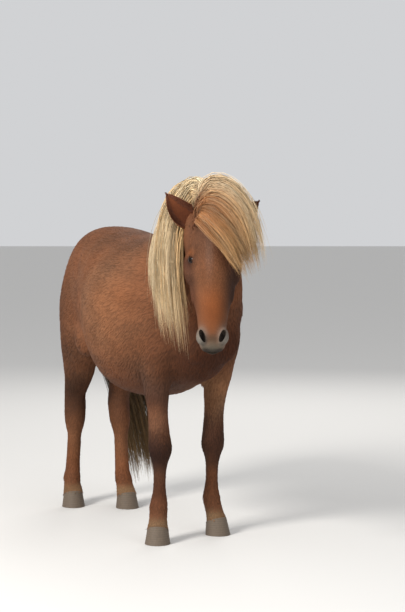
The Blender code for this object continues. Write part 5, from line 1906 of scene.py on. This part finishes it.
    def behind_ears(self, points: Rows) -> Rows:
        """The points moved back where they would cover the right ear, and out beside the cheek."""
        if not self.kind.behind_ear:
            return points
        flat = points.reshape(-1, 3)
        side, along, front = self.atlas.in_head(flat)
        root = np.array((-EAR_ROOT[0], EAR_ROOT[1]))
        tip_side, tip_along, _ = EAR_TIP["right"]
        axis = np.array((-tip_side, tip_along)) - root
        reach = float(np.linalg.norm(axis))
        axis = axis / reach
        away = np.stack((side, along), 1) - root
        up_ear = away @ axis
        beside = np.abs(away @ np.array((-axis[1], axis[0])))
        past = np.maximum(0, up_ear - reach) + np.maximum(0, -up_ear - 0.02)
        limit = EAR_BACK + np.hypot(np.maximum(0, beside - EAR_BESIDE), past) * 1.5
        moved = flat + np.array(head_axes()[2]) * np.minimum(0, limit - front)[:, None]
        side, along, front = self.atlas.in_head(moved)
        near = soft_step(0.03, 0.10, along) * soft_step(-0.58, -0.48, front)
        edge = CHEEK_SIDE - 0.012 * soft_step(-0.05, -0.2, front) + 0.055 * soft_step(0.30, 0.52, along)
        edge = np.minimum(0, edge - side) * near
        moved = moved + np.array(head_axes()[0]) * edge[:, None]
        return moved.reshape(points.shape)

    @staticmethod
    def without_corners(body: Rows) -> Rows:
        """Which strands turn gently everywhere, apart from their first steps."""
        ahead = unit(np.diff(body, axis=1))
        return np.min(np.sum(ahead[:, 3:] * ahead[:, 2:-1], axis=2), axis=1) > SHARPEST_TURN

    @staticmethod
    def smooth(lines: Rows) -> Rows:
        """The lines with their inner points evened out."""
        for _ in range(2):
            lines[:, 1:-1] = 0.5 * lines[:, 1:-1] + 0.25 * (lines[:, :-2] + lines[:, 2:])
        return lines

    @staticmethod
    def cut(lines: Rows, reaches: Rows) -> Rows:
        """Shortens lines from their tips.

        Args:
            lines: the lines' points.
            reaches: about what share of its length each line keeps.

        Returns:
            The lines with as many points as before.
        """
        last = STRAND_STEPS - 1
        place = np.linspace(0, 1, STRAND_STEPS)[None, :] * (np.minimum(reaches, 1) ** 0.75)[:, None] * last
        low = np.clip(place.astype(int), 0, last - 1)
        part = (place - low)[:, :, None]
        rows = np.arange(len(lines))[:, None]
        return lines[rows, low] * (1 - part) + lines[rows, low + 1] * part

    def keep_in(self, body: Rows) -> None:
        """Holds the strands inside the box of the model and off the floor."""
        low, high = (np.array(corner) for corner in LOADED_BOUNDS)
        low = low - BOX_PLAY
        low[2] = LOWEST_HAIR
        np.clip(body, low, high + BOX_PLAY, out=body)

    def colours(self, clump: Rows, clump_count: int, pale: Rows, chance: Chance) -> Rows:
        """Mixes the colour along each strand.

        Args:
            clump: which clump each strand is in.
            clump_count: how many clumps there are.
            pale: how pale each strand is, 0 to 1.
            chance: the source of its differences.

        Returns:
            Red, green and blue for each step of each strand.
        """
        kind = self.kind
        t = np.linspace(0, 1, STRAND_STEPS)[None, :, None] ** 1.4
        rise, fall = soft_step(0.02, 0.40, t), soft_step(0.45, 1.0, t)
        root, middle, tip = (np.array(colour)[None, None] for colour in (kind.root, kind.middle, kind.tip))
        shade = (root * (1 - rise) + middle * rise) * (1 - fall) + tip * fall
        pale = np.clip(pale + chance.normal(0, 0.12, len(pale)), 0, 1)[:, None, None]
        shade = shade * (1 - pale) + np.array(PALE_HAIR) * pale
        streaks = np.exp(chance.normal(0, kind.streak, clump_count))[clump][:, None, None]
        own = np.exp(chance.normal(0, 0.12, (len(clump), 1, 1)))
        warm = 1 + chance.normal(0, 0.05, clump_count)[clump][:, None, None] * np.array((0.6, 0, -1.0))
        return np.clip(shade * streaks * own * warm, 0, 1)

    def weave(self, name: str, body: Rows, colours: Rows, chance: Chance) -> Thing:
        """Makes one mesh of closed strands along the lines.

        Args:
            name: the piece's name.
            body: the points of each strand.
            colours: the colour at each point.
            chance: the source of their turns and widths.

        Returns:
            The mesh object.
        """
        steps, corners, count = STRAND_STEPS, STRAND_CORNERS, len(body)
        ahead = unit(np.gradient(body, axis=1))
        steady = unit(chance.normal(size=(count, 1, 3)))
        side = unit(np.cross(ahead, np.repeat(steady, steps, 1)))
        other = np.cross(ahead, side)
        t = np.linspace(0, 1, steps)[None, :, None]
        half = self.kind.width * chance.uniform(0.7, 1.3, (count, 1, 1)) * (1 - t**3 * 0.88)
        turns = [2 * math.pi * corner / corners for corner in range(corners)]
        rings = [body + half * (side * math.cos(turn) + other * math.sin(turn)) for turn in turns]
        points = np.stack(rings, axis=2)
        faces = []
        for i in range(steps - 1):
            for j in range(corners):
                a, b = i * corners + j, i * corners + (j + 1) % corners
                faces += [(a, b, b + corners), (a, b + corners, a + corners)]
        per = steps * corners
        faces += [(0, 2, 1), (per - 3, per - 2, per - 1)]
        rows = (np.arange(count)[:, None, None] * per + np.array(faces)[None]).reshape(-1, 3)
        made = Bench.from_rows(name, points.reshape(-1, 3), rows)
        chart = np.meshgrid(np.linspace(0, 1, corners), np.linspace(0, 1, steps))
        full = np.repeat(colours, corners, axis=1).reshape(-1, 3)
        self.fleece.finish(made, full, body[:, 0], per, np.stack(chart, axis=-1).reshape(-1, 2))
        LOG.info("%s: %d strands", name, count)
        return made


@dataclass
class Mane(LongHair):
    """The mane, which rises from the crest and falls over the right side of the neck.

    Attributes:
        locks: how many locks a layer has.
        layers: how high each layer rises, and how far to the side it falls.
    """

    locks: int = 32
    layers: Sequence[tuple[float, float]] = ((0.055, 0.145), (0.090, 0.170), (0.125, 0.195), (0.155, 0.215))

    def guides(self, chance: Chance) -> tuple[Rows, Rows, Rows]:
        """Locks from the crest, over to the right side of the neck and down."""
        lines, flats, pale = [], [], []
        up = np.array((0, 0, 1.0))
        for layer, (rise, spread) in enumerate(self.layers):
            for i in range(self.locks):
                share = (i + 0.5 + chance.uniform(-0.3, 0.3)) / self.locks
                crest, left = neck_place(0.08 + 0.87 * share)
                right = -left
                ahead = np.cross(up, right)
                near_poll = max(0.0, share - 0.35) / 0.65
                drop = 0.34 + 0.185 * share + chance.uniform(-0.08, 0.08)
                wide = spread + 0.010 * near_poll + chance.uniform(-0.02, 0.014)
                lift = rise * (0.30 + 0.70 * near_poll)
                stray = chance.uniform(-0.03, 0.03) * (1 - 0.7 * near_poll)
                fore = chance.uniform(0.2, 1.0) * near_poll
                inner = chance.uniform(0.0, 1.0) * min(1.0, near_poll * 1.5)
                low = wide * (1 - inner) + MANE_INNERMOST * inner
                lines.append([
                    crest - up * 0.022 + right * 0.004,
                    crest + up * (lift * 0.75 + 0.008) + right * 0.010,
                    crest + up * lift + right * wide * 0.40 + ahead * stray * 0.4,
                    crest + right * wide * 0.80 - up * (0.055 - lift * 0.55) + ahead * stray * 0.8,
                    crest + right * low - up * (0.10 + drop * 0.36) + ahead * (0.010 + stray + 0.06 * fore),
                    (crest + right * low * (0.98 - 0.10 * near_poll) - up * (0.07 + drop * 0.74)
                     + ahead * (0.035 + stray * 0.6 + 0.07 * fore)),
                    (crest + right * low * (0.92 - 0.26 * near_poll) - up * (0.06 + drop * 1.08)
                     + ahead * (0.085 - stray + 0.07 * fore)),
                ])
                flats.append(unit(right + up * 0.3))
                pale.append(0.10 + 0.26 * layer)
        return np.array(lines), np.array(flats), np.array(pale)


@dataclass
class Fan(LongHair):
    """A fan of locks between a lowest and a highest line, in the head's own axes.

    Attributes:
        low: the marks of the lowest line.
        high: the marks of the highest line.
        lifts: how far each layer stands off, in front of the first.
        paleness: how pale the highest locks are.
        locks: how many locks a layer has.
    """

    low: Sequence = ()
    high: Sequence = ()
    lifts: Sequence[float] = (0.0, 0.012, 0.026)
    paleness: tuple[float, float] = (0.0, 0.9)
    locks: int = 16

    def guides(self, chance: Chance) -> tuple[Rows, Rows, Rows]:
        """Locks from the line between the ears, palest along the top."""
        lines, flats, pale = [], [], []
        for lift in self.lifts:
            for i in range(self.locks):
                share = (i + 0.5 + chance.uniform(-0.4, 0.4)) / self.locks
                reach = chance.uniform(-0.035, 0.025)
                marks = []
                for step, (near, far) in enumerate(zip(self.low, self.high)):
                    side, along, front = (a + (b - a) * share for a, b in zip(near, far))
                    fall = reach * max(0, step - 3) / 2
                    marks.append(np.array(on_head(side, along + fall, front + lift * min(1, step))))
                lines.append(marks)
                flats.append(np.array(head_direction(0.30 * share, -0.25, 1)))
                dull, bright = self.paleness
                pale.append(dull + (bright - dull) * max(0.0, share - 0.55) / 0.45)
        return np.array(lines), np.array(flats), np.array(pale)


@dataclass
class Tail(LongHair):
    """The tail, which hangs from the dock and blows to the horse's left."""

    def guides(self, chance: Chance) -> tuple[Rows, Rows, Rows]:
        """Locks from the dock, dense at the root and thin at the tips."""
        lines, flats = [], []
        for ring, (count, radius, reach) in enumerate(TAIL_RINGS):
            for i in range(count):
                angle = 2 * math.pi * (i + 0.5 * (ring % 2) + chance.uniform(-0.3, 0.3)) / count
                around = np.array(at(math.cos(angle), 0, math.sin(angle)))
                outward = np.array(at(math.cos(angle), math.sin(angle) * 0.8, 0))
                foot = 1.13 - 1.09 * reach * chance.uniform(0.88, 1.0)
                line = [np.array(at(*mark)) + outward * radius * out
                        for mark, out in zip(TAIL_MARKS, TAIL_SWELL)]
                line[0] = line[0] + around * min(radius, 0.03) * 0.8
                line[1] = line[1] + around * min(radius, 0.04) * 0.7
                line.append(np.array(at(*TAIL_END, foot)) + outward * radius * TAIL_SWELL[-1])
                lines.append(line)
                flats.append(unit(around + outward))
        return np.array(lines), np.array(flats), np.zeros(len(lines))


# Each ring of locks in the tail: how many, how far from its middle, and how much of its length they
# have. Then how the tail swells from mark to mark, its middle line, and where it ends
TAIL_RINGS = ((8, 0.012, 0.92), (14, 0.030, 0.98), (18, 0.048, 1.0))
TAIL_SWELL = (0.0, 0.0, 0.8, 1.4, 1.8, 1.9, 1.7, 1.4)
TAIL_END = (0.310, -0.668)
TAIL_MARKS = [
    (0.0, -0.680, 1.190),
    (0.008, -0.760, 1.165),
    (0.025, -0.800, 1.040),
    (0.105, -0.780, 0.860),
    (0.215, -0.735, 0.660),
    (0.275, -0.700, 0.450),
    (0.300, -0.680, 0.250),
]

# The lowest and highest lines of the forelock, which blows to the horse's left, and of the hair over the
# crown, which falls to its right, in the head's own axes
FORELOCK_LOW = [
    (-0.048, 0.090, 0.028),
    (-0.052, 0.060, 0.068),
    (-0.030, 0.112, 0.088),
    (0.020, 0.170, 0.092),
    (0.068, 0.236, 0.092),
    (0.128, 0.336, 0.066),
]

FORELOCK_HIGH = [
    (-0.022, -0.010, -0.030),
    (-0.046, -0.070, 0.020),
    (-0.006, -0.118, 0.045),
    (0.092, -0.080, 0.065),
    (0.170, 0.034, 0.070),
    (0.202, 0.262, 0.050),
]

CROWN_LOW = [
    (-0.062, 0.012, -0.030),
    (-0.074, -0.048, -0.015),
    (-0.104, -0.060, -0.045),
    (-0.142, -0.052, -0.070),
    (-0.168, -0.010, -0.090),
    (-0.166, 0.060, -0.085),
    (-0.150, 0.140, -0.070),
    (-0.136, 0.250, -0.060),
    (-0.126, 0.360, -0.055),
    (-0.116, 0.470, -0.045),
]

CROWN_HIGH = [
    (-0.030, -0.020, -0.040),
    (-0.036, -0.104, -0.010),
    (-0.074, -0.132, -0.020),
    (-0.122, -0.120, -0.045),
    (-0.168, -0.076, -0.075),
    (-0.198, 0.000, -0.100),
    (-0.224, 0.100, -0.120),
    (-0.244, 0.220, -0.130),
    (-0.246, 0.360, -0.130),
    (-0.222, 0.480, -0.120),
]

MANE_HAIR = Tresses("mane_strands", 3400, 9, 0.00120, 0.034, 0.013, linear(142, 106, 70),
                    linear(178, 144, 98), linear(170, 136, 94), 0.26, behind_ear=True)
CROWN_HAIR = Tresses("crown_strands", 1500, 8, 0.00115, 0.026, 0.008, linear(140, 98, 62),
                     linear(188, 156, 110), linear(180, 146, 102), 0.18, behind_ear=True)
FORELOCK_HAIR = Tresses("forelock_strands", 2100, 8, 0.0011, 0.030, 0.008, linear(104, 62, 40),
                        linear(156, 108, 70), linear(182, 144, 100), 0.20, 0.86)
# The tail is dark at the root and darkest in the middle, partly its own darker core and partly painted shade
# where the body shades it; its tips are flaxen
TAIL_HAIR = Tresses("tail_strands", 2000, 9, 0.0013, 0.026, 0.012, linear(66, 46, 34),
                    linear(50, 40, 32), linear(112, 88, 58), 0.22, 0.94)


def neck_place(share: float) -> tuple[Rows, Rows]:
    """A place on the crest of the neck.

    Args:
        share: 0 at the withers, 1 at the poll.

    Returns:
        The place, and the way to the neck's left there.
    """
    rows = [[*at(*top), *at(math.cos(HEAD_TURN * turned), math.sin(HEAD_TURN * turned), 0)]
            for top, _, _, turned in NECK]
    line = np.array(curve_through(rows, 8))
    places = np.linspace(0, 1, len(line))
    row = np.array([np.interp(share, places, line[:, axis]) for axis in range(6)])
    return row[:3], unit(row[3:])


# Finishes
class Socket:
    """An outlet of a material's node, which sums and products can be written with."""

    def __init__(self, graph: "Graph", outlet: bpy.types.NodeSocket) -> None:
        """Keeps the material and the outlet."""
        self.graph = graph
        self.outlet = outlet

    def __add__(self, other: "Socket | float") -> "Socket":
        """The sum."""
        return self.graph.maths("ADD", self, other)

    def __radd__(self, other: float) -> "Socket":
        """The sum, the other way round."""
        return self.graph.maths("ADD", other, self)

    def __mul__(self, other: "Socket | float") -> "Socket":
        """The product."""
        return self.graph.maths("MULTIPLY", self, other)


class Graph:
    """One material and its nodes."""

    def __init__(self, name: str) -> None:
        """Starts a material with its Principled shader."""
        self.material = bpy.data.materials.new(name)
        self.material.use_nodes = True
        self.tree = self.material.node_tree
        self.shader = self.tree.nodes["Principled BSDF"]

    def node(self, kind: str, outlet: str, settings: dict | None = None, **inputs: object) -> Socket:
        """Any node.

        Args:
            kind: the node's type.
            outlet: the name of the outlet to use.
            settings: values of the node itself.
            inputs: values or sockets for its inputs, with _ for a space.

        Returns:
            The outlet.
        """
        made = self.tree.nodes.new(kind)
        for key, value in (settings or {}).items():
            setattr(made, key, value)
        for key, value in inputs.items():
            self.feed(made.inputs[key.replace("_", " ")], value)
        return Socket(self, made.outputs[outlet])

    def feed(self, inlet: bpy.types.NodeSocket, value: object) -> None:
        """Links a socket or sets a value."""
        if isinstance(value, Socket):
            self.tree.links.new(value.outlet, inlet)
        else:
            inlet.default_value = value

    def maths(self, operation: str, *values: "Socket | float") -> Socket:
        """One maths node."""
        made = self.tree.nodes.new("ShaderNodeMath")
        made.operation = operation
        for inlet, value in zip(made.inputs, values):
            self.feed(inlet, value)
        return Socket(self, made.outputs[0])

    def place(self) -> Socket:
        """The object's own coordinates."""
        return self.node("ShaderNodeTexCoord", "Object")

    def noise(self, scale: float, detail: float) -> Socket:
        """Cloudy noise between 0 and 1."""
        return self.node("ShaderNodeTexNoise", "Fac", Vector=self.place(), Scale=scale, Detail=detail)

    def tint(self) -> Socket:
        """The colour stored at each vertex."""
        return self.node("ShaderNodeAttribute", "Color", {"attribute_name": TINT})

    def shaded(self, colour: "Socket | tuple", amount: Socket) -> Socket:
        """A colour made lighter or darker by a factor."""
        grey = self.node("ShaderNodeCombineColor", "Color", Red=amount, Green=amount, Blue=amount)
        made = self.tree.nodes.new("ShaderNodeMix")
        made.data_type, made.blend_type = "RGBA", "MULTIPLY"
        made.inputs[0].default_value = 1.0
        self.feed(made.inputs[6], colour)
        self.feed(made.inputs[7], grey)
        return Socket(self, made.outputs[2])

    def bump(self, height: Socket, strength: float, distance: float) -> None:
        """Raises the surface by a height."""
        self.set(Normal=self.node("ShaderNodeBump", "Normal", Height=height, Strength=strength,
                                  Distance=distance))

    def set(self, **inputs: object) -> None:
        """Sets or links the shader's own inputs."""
        for key, value in inputs.items():
            self.feed(self.shader.inputs[key.replace("_", " ")], value)


@dataclass(frozen=True)
class SkinFinish:
    """Fur, hair or bare skin: a colour with a cloudy grain.

    Attributes:
        name: the material's name.
        roughness: how dull it is.
        gloss: how much light it throws back.
        grain: how fine the grain is, and how detailed.
        shades: how light its dark parts are, and how much lighter the others.
        relief: how strong the relief of the grain is, and how deep, or none.
        colour: the colour, or none for the one stored at each vertex.
    """

    name: str
    roughness: float
    gloss: float
    grain: tuple[float, float] = (9.0, 3.0)
    shades: tuple[float, float] = (0.86, 0.28)
    relief: tuple[float, float] | None = None
    colour: Colour | None = None

    def make(self) -> bpy.types.Material:
        """The material."""
        graph = Graph(self.name)
        grain = graph.noise(*self.grain)
        dark, more = self.shades
        colour = (*self.colour, 1) if self.colour else graph.tint()
        graph.set(Base_Color=graph.shaded(colour, dark + grain * more), Roughness=self.roughness,
                  Specular_IOR_Level=self.gloss)
        if self.relief:
            graph.bump(grain, *self.relief)
        return graph.material


SHORT_FUR_SKIN = SkinFinish("short_fur_skin", 0.82, 0.18, (260.0, 5.0), (0.50, 0.55), (0.55, 0.002))
BARE_SKIN = SkinFinish("bare_skin", 0.48, 0.4, (700.0, 2.0), (0.75, 0.5), (0.25, 0.0006), linear(40, 29, 26))
FUR_TUFTS = SkinFinish("fur_tufts", 0.70, 0.14)
LONG_HAIR = SkinFinish("long_hair", 0.46, 0.26)


@dataclass(frozen=True)
class HoofFinish:
    """Horn: dark, streaked down the wall and ringed across it."""

    colour: Colour = linear(98, 86, 74)

    def make(self) -> bpy.types.Material:
        """The material."""
        graph = Graph("hoof_horn")
        streaks = graph.node("ShaderNodeTexNoise", "Fac", Vector=self.stretched(graph), Scale=1.0, Detail=4.0)
        rings = graph.node("ShaderNodeTexWave", "Fac", {"wave_type": "BANDS", "bands_direction": "Z"},
                           Vector=graph.place(), Scale=34.0, Distortion=1.5)
        graph.set(Base_Color=graph.shaded((*self.colour, 1), 0.60 + streaks * 0.55 + rings * 0.12),
                  Roughness=0.55 + streaks * 0.25, Specular_IOR_Level=0.35)
        graph.bump(rings * 0.5 + streaks * 0.5, 0.35, 0.0015)
        return graph.material

    @staticmethod
    def stretched(graph: Graph) -> Socket:
        """The object's coordinates, drawn out downwards."""
        return graph.node("ShaderNodeMapping", "Vector", Vector=graph.place(), Scale=(260, 260, 18))


@dataclass(frozen=True)
class EyeFinish:
    """A wet, dark eyeball."""

    def make(self) -> bpy.types.Material:
        """The material."""
        graph = Graph("eyeball")
        graph.set(Base_Color=graph.tint(), Roughness=0.24, Specular_IOR_Level=0.14, Coat_Weight=0.10,
                  Coat_Roughness=0.03)
        return graph.material


# The whole
@dataclass
class EarFur:
    """Short fur on an ear's back and rim, and longer hair inside its opening.

    Attributes:
        ear: the shell that it grows from.
        fleece: packs the tufts.
        count: how many tufts the back has. The inside has half as many.
        rim: how much of the inside bears hair, as a share of its width from each rim.
    """

    ear: Ear
    fleece: Fleece
    count: int = 2600
    rim: float = 0.30

    def sow(self, sheet: Rows, number: int, out: int, chance: Chance) -> tuple[Rows, Rows, Rows, Rows]:
        """Random places on one side of the shell.

        Args:
            sheet: the points of that side, ring by ring.
            number: how many places to find.
            out: 1 for the outer side, -1 for the inner one.
            chance: the source of the places.

        Returns:
            The places, the ways out of the skin and up the ear there, and how near the tip they are.
        """
        rows, columns = self.ear.rows, self.ear.columns
        t = chance.random(number) ** 0.8 * (rows - 1.01)
        s = chance.random(number) * (columns - 1.01)
        if out < 0:
            s = np.where(chance.random(number) < 0.5, s * self.rim, (columns - 1.01) - s * self.rim)
        i, j = t.astype(int), s.astype(int)
        rise, over = sheet[i + 1, j] - sheet[i, j], sheet[i, j + 1] - sheet[i, j]
        root = sheet[i, j] + rise * (t - i)[:, None]
        root = root + over * (s - j)[:, None]
        normal = unit(np.cross(unit(over), unit(rise)))
        outward = ((normal * (root - sheet.mean(1)[i])).sum(1) > 0)[:, None]
        return root, np.where(outward, normal, -normal) * out, unit(rise), t / (rows - 1)

    def build(self) -> Thing:
        """The tufts, as one mesh."""
        chance = np.random.default_rng(SEED + len(self.ear.name))
        outer, inner, facing = self.ear.shape()
        grid = (self.ear.rows, self.ear.columns, 3)
        parts = [self.sow(np.array([list(point) for point in points]).reshape(grid), number, out, chance)
                 for points, number, out in ((outer, self.count, 1), (inner, self.count // 2, -1))]
        root, normal, up, share = (np.concatenate(column) for column in zip(*parts))
        inside = np.arange(len(root)) >= self.count
        lie = unit(up + normal * 0.15 + chance.normal(0, 0.16, up.shape))
        inner_lie = unit(up * 0.9 + np.array(facing) * 0.45 + chance.normal(0, 0.15, up.shape))
        lie = np.where(inside[:, None], inner_lie, lie)
        long = np.where(inside, 0.018, 0.010) * chance.uniform(0.6, 1.3, len(root)) * (1 - 0.45 * share)
        low, high, dark = (np.array(linear(*tone)) for tone in ((110, 63, 40), (146, 86, 54), (94, 58, 44)))
        colours = low + (high - low) * share[:, None]
        colours = np.where(inside[:, None], dark * (0.7 + 0.3 * share[:, None]), colours)
        colours = colours * np.exp(chance.normal(0, 0.09, len(root)))[:, None]
        tufts = Tufts(root, normal, lie, long, np.full(len(root), 0.06), np.clip(long * 0.10, 0.0006, 0.0014),
                      colours)
        return tufts.build(f"ear_{self.ear.name}_fur", self.fleece)


@dataclass
class Studio:
    """The camera at the photo's angle, soft lights and a pale world.

    Attributes:
        shift: how far the centred model has moved.
        focal: the focal length, as a share of the frame's height.
        pitch: the tangent of the angle that the camera looks down at.
        place: where the camera is, before the model is centred.
        look: the level way that it looks.
    """

    shift: Vector
    focal: float = 1750 / 612
    pitch: float = 103 / 1750
    place: Place = (-3.533, -7.185, 1.48)
    look: Place = (0.469, 0.883, 0)

    def camera(self) -> None:
        """The camera: low, in front and to the right of the horse."""
        data = bpy.data.cameras.new("camera")
        data.sensor_fit = "VERTICAL"
        data.sensor_height = 24.0
        data.lens = data.sensor_height * self.focal
        data.clip_end = 60
        made = Bench.link("camera", data)
        made.location = Vector(self.place) + self.shift
        angle = math.atan(self.pitch)
        level = Vector(self.look).normalized() * math.cos(angle)
        made.rotation_euler = (level - Vector((0, 0, math.sin(angle)))).to_track_quat("-Z", "Y").to_euler()
        bpy.context.scene.camera = made

    def lamp(self, name: str, place: Sequence, size: float, power: float, colour: Sequence) -> None:
        """Adds one large soft lamp that looks at the horse.

        Args:
            name: the lamp's name.
            place: where it is.
            size: how wide it is.
            power: how strong it is.
            colour: its colour.
        """
        data = bpy.data.lights.new(name, "AREA")
        data.size, data.energy, data.color = size, power, colour
        made = Bench.link(name, data)
        made.location = place
        made.rotation_euler = (Vector((0, -0.1, 0.9)) - Vector(place)).to_track_quat("-Z", "Y").to_euler()

    def floor(self) -> None:
        """A plain pale floor."""
        bpy.ops.mesh.primitive_plane_add(size=400)
        made = bpy.context.object
        made.name = "floor"
        graph = Graph("pale_floor")
        graph.set(Base_Color=(0.66, 0.65, 0.63, 1), Roughness=0.9)
        made.data.materials.append(graph.material)

    def build(self) -> None:
        """Camera, lamps, floor and world."""
        self.camera()
        self.floor()
        self.lamp("key", (-5.4, -1.8, 4.4), 1.8, 520, (1.0, 0.97, 0.93))
        self.lamp("fill", (0.5, -6.5, 3.0), 4.0, 90, (0.96, 0.98, 1.0))
        self.lamp("rim", (3.5, 4.5, 4.0), 3.0, 110, (1.0, 0.98, 0.95))
        world = bpy.data.worlds.new("world")
        world.use_nodes = True
        back = world.node_tree.nodes["Background"]
        back.inputs["Color"].default_value = (0.86, 0.87, 0.89, 1)
        back.inputs["Strength"].default_value = 0.74
        bpy.context.scene.world = world
        bpy.context.scene.view_settings.view_transform = "Standard"


FLESH_NODES = ["head", "neck", "torso", "foreleg_upper_right", "foreleg_upper_left", "foreleg_lower_right",
               "foreleg_lower_left", "hindleg_upper_right", "hindleg_upper_left", "hindleg_lower_right",
               "hindleg_lower_left"]


def dress(made: Thing, finish: bpy.types.Material, slot: str, *nodes: str) -> None:
    """Gives a piece its finish, hangs it under the root body and hides the CAD nodes that it replaces.

    Args:
        made: the piece.
        finish: its material.
        slot: the slot that its material would fill; not used.
        nodes: the CAD nodes that it replaces.
    """
    made.data.materials.clear()
    made.data.materials.append(finish)
    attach(made, "root")
    if nodes:
        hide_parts(*nodes)
    LOG.info("%s handed over", made.name)


def main() -> None:
    """Builds the horse, its coat and the studio."""
    eye_middle = sum((Vector(corner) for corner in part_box("eye_right")), Vector()) / 2
    shift = eye_middle - on_head(-EYE_PLACE[0], *EYE_PLACE[1:])
    atlas = Atlas(shift)
    markings = MarkingsAndShading(atlas)
    fleece = Fleece(atlas)
    fur, hair, bare, skin = (finish.make() for finish in
                             (FUR_TUFTS, LONG_HAIR, BARE_SKIN, SHORT_FUR_SKIN))

    hide = Hide(atlas, markings).build()
    tree = BVHTree.FromPolygons([vertex.co for vertex in hide.data.vertices],
                                [face.vertices[:] for face in hide.data.polygons])
    dress(hide, skin, "coat", *FLESH_NODES)
    for name, sign in SIDES.items():
        dress(Eye(sign, shift).build(), EyeFinish().make(), "eye", f"eye_{name}")
        dress(LidRim(sign).build(shift), bare, "coat")
        ear = Ear(name, shift)
        dress(ear.build(), skin, "coat", f"ear_{name}")
        dress(EarFur(ear, fleece).build(), fur, "coat")
    horn = HoofFinish().make()
    for limb in LIMBS:
        for name, sign in SIDES.items():
            hoof = Hoof(f"{limb.kind}_hoof_{name}", limb.hoof[name], limb.toe_out[name] * sign, shift)
            dress(hoof.build(), horn, "hoof", hoof.name)
    for piece in Coat(hide, atlas, markings, fleece).build():
        dress(piece, fur, "coat")
    for piece in Mane(MANE_HAIR, atlas, tree, fleece).build():
        dress(piece, hair, "long_hair")
    crown = Fan(CROWN_HAIR, atlas, tree, fleece, CROWN_LOW, CROWN_HIGH, (0.0, -0.016), (0.35, 0.85))
    forelock = Fan(FORELOCK_HAIR, atlas, tree, fleece, FORELOCK_LOW, FORELOCK_HIGH)
    for piece in crown.build() + forelock.build():
        dress(piece, hair, "long_hair")
    for number, piece in enumerate(Tail(TAIL_HAIR, atlas, tree, fleece).build()):
        dress(piece, hair, "long_hair", *([] if number else ["tail"]))
    Studio(shift).build()


if __name__ == "__main__":
    main()
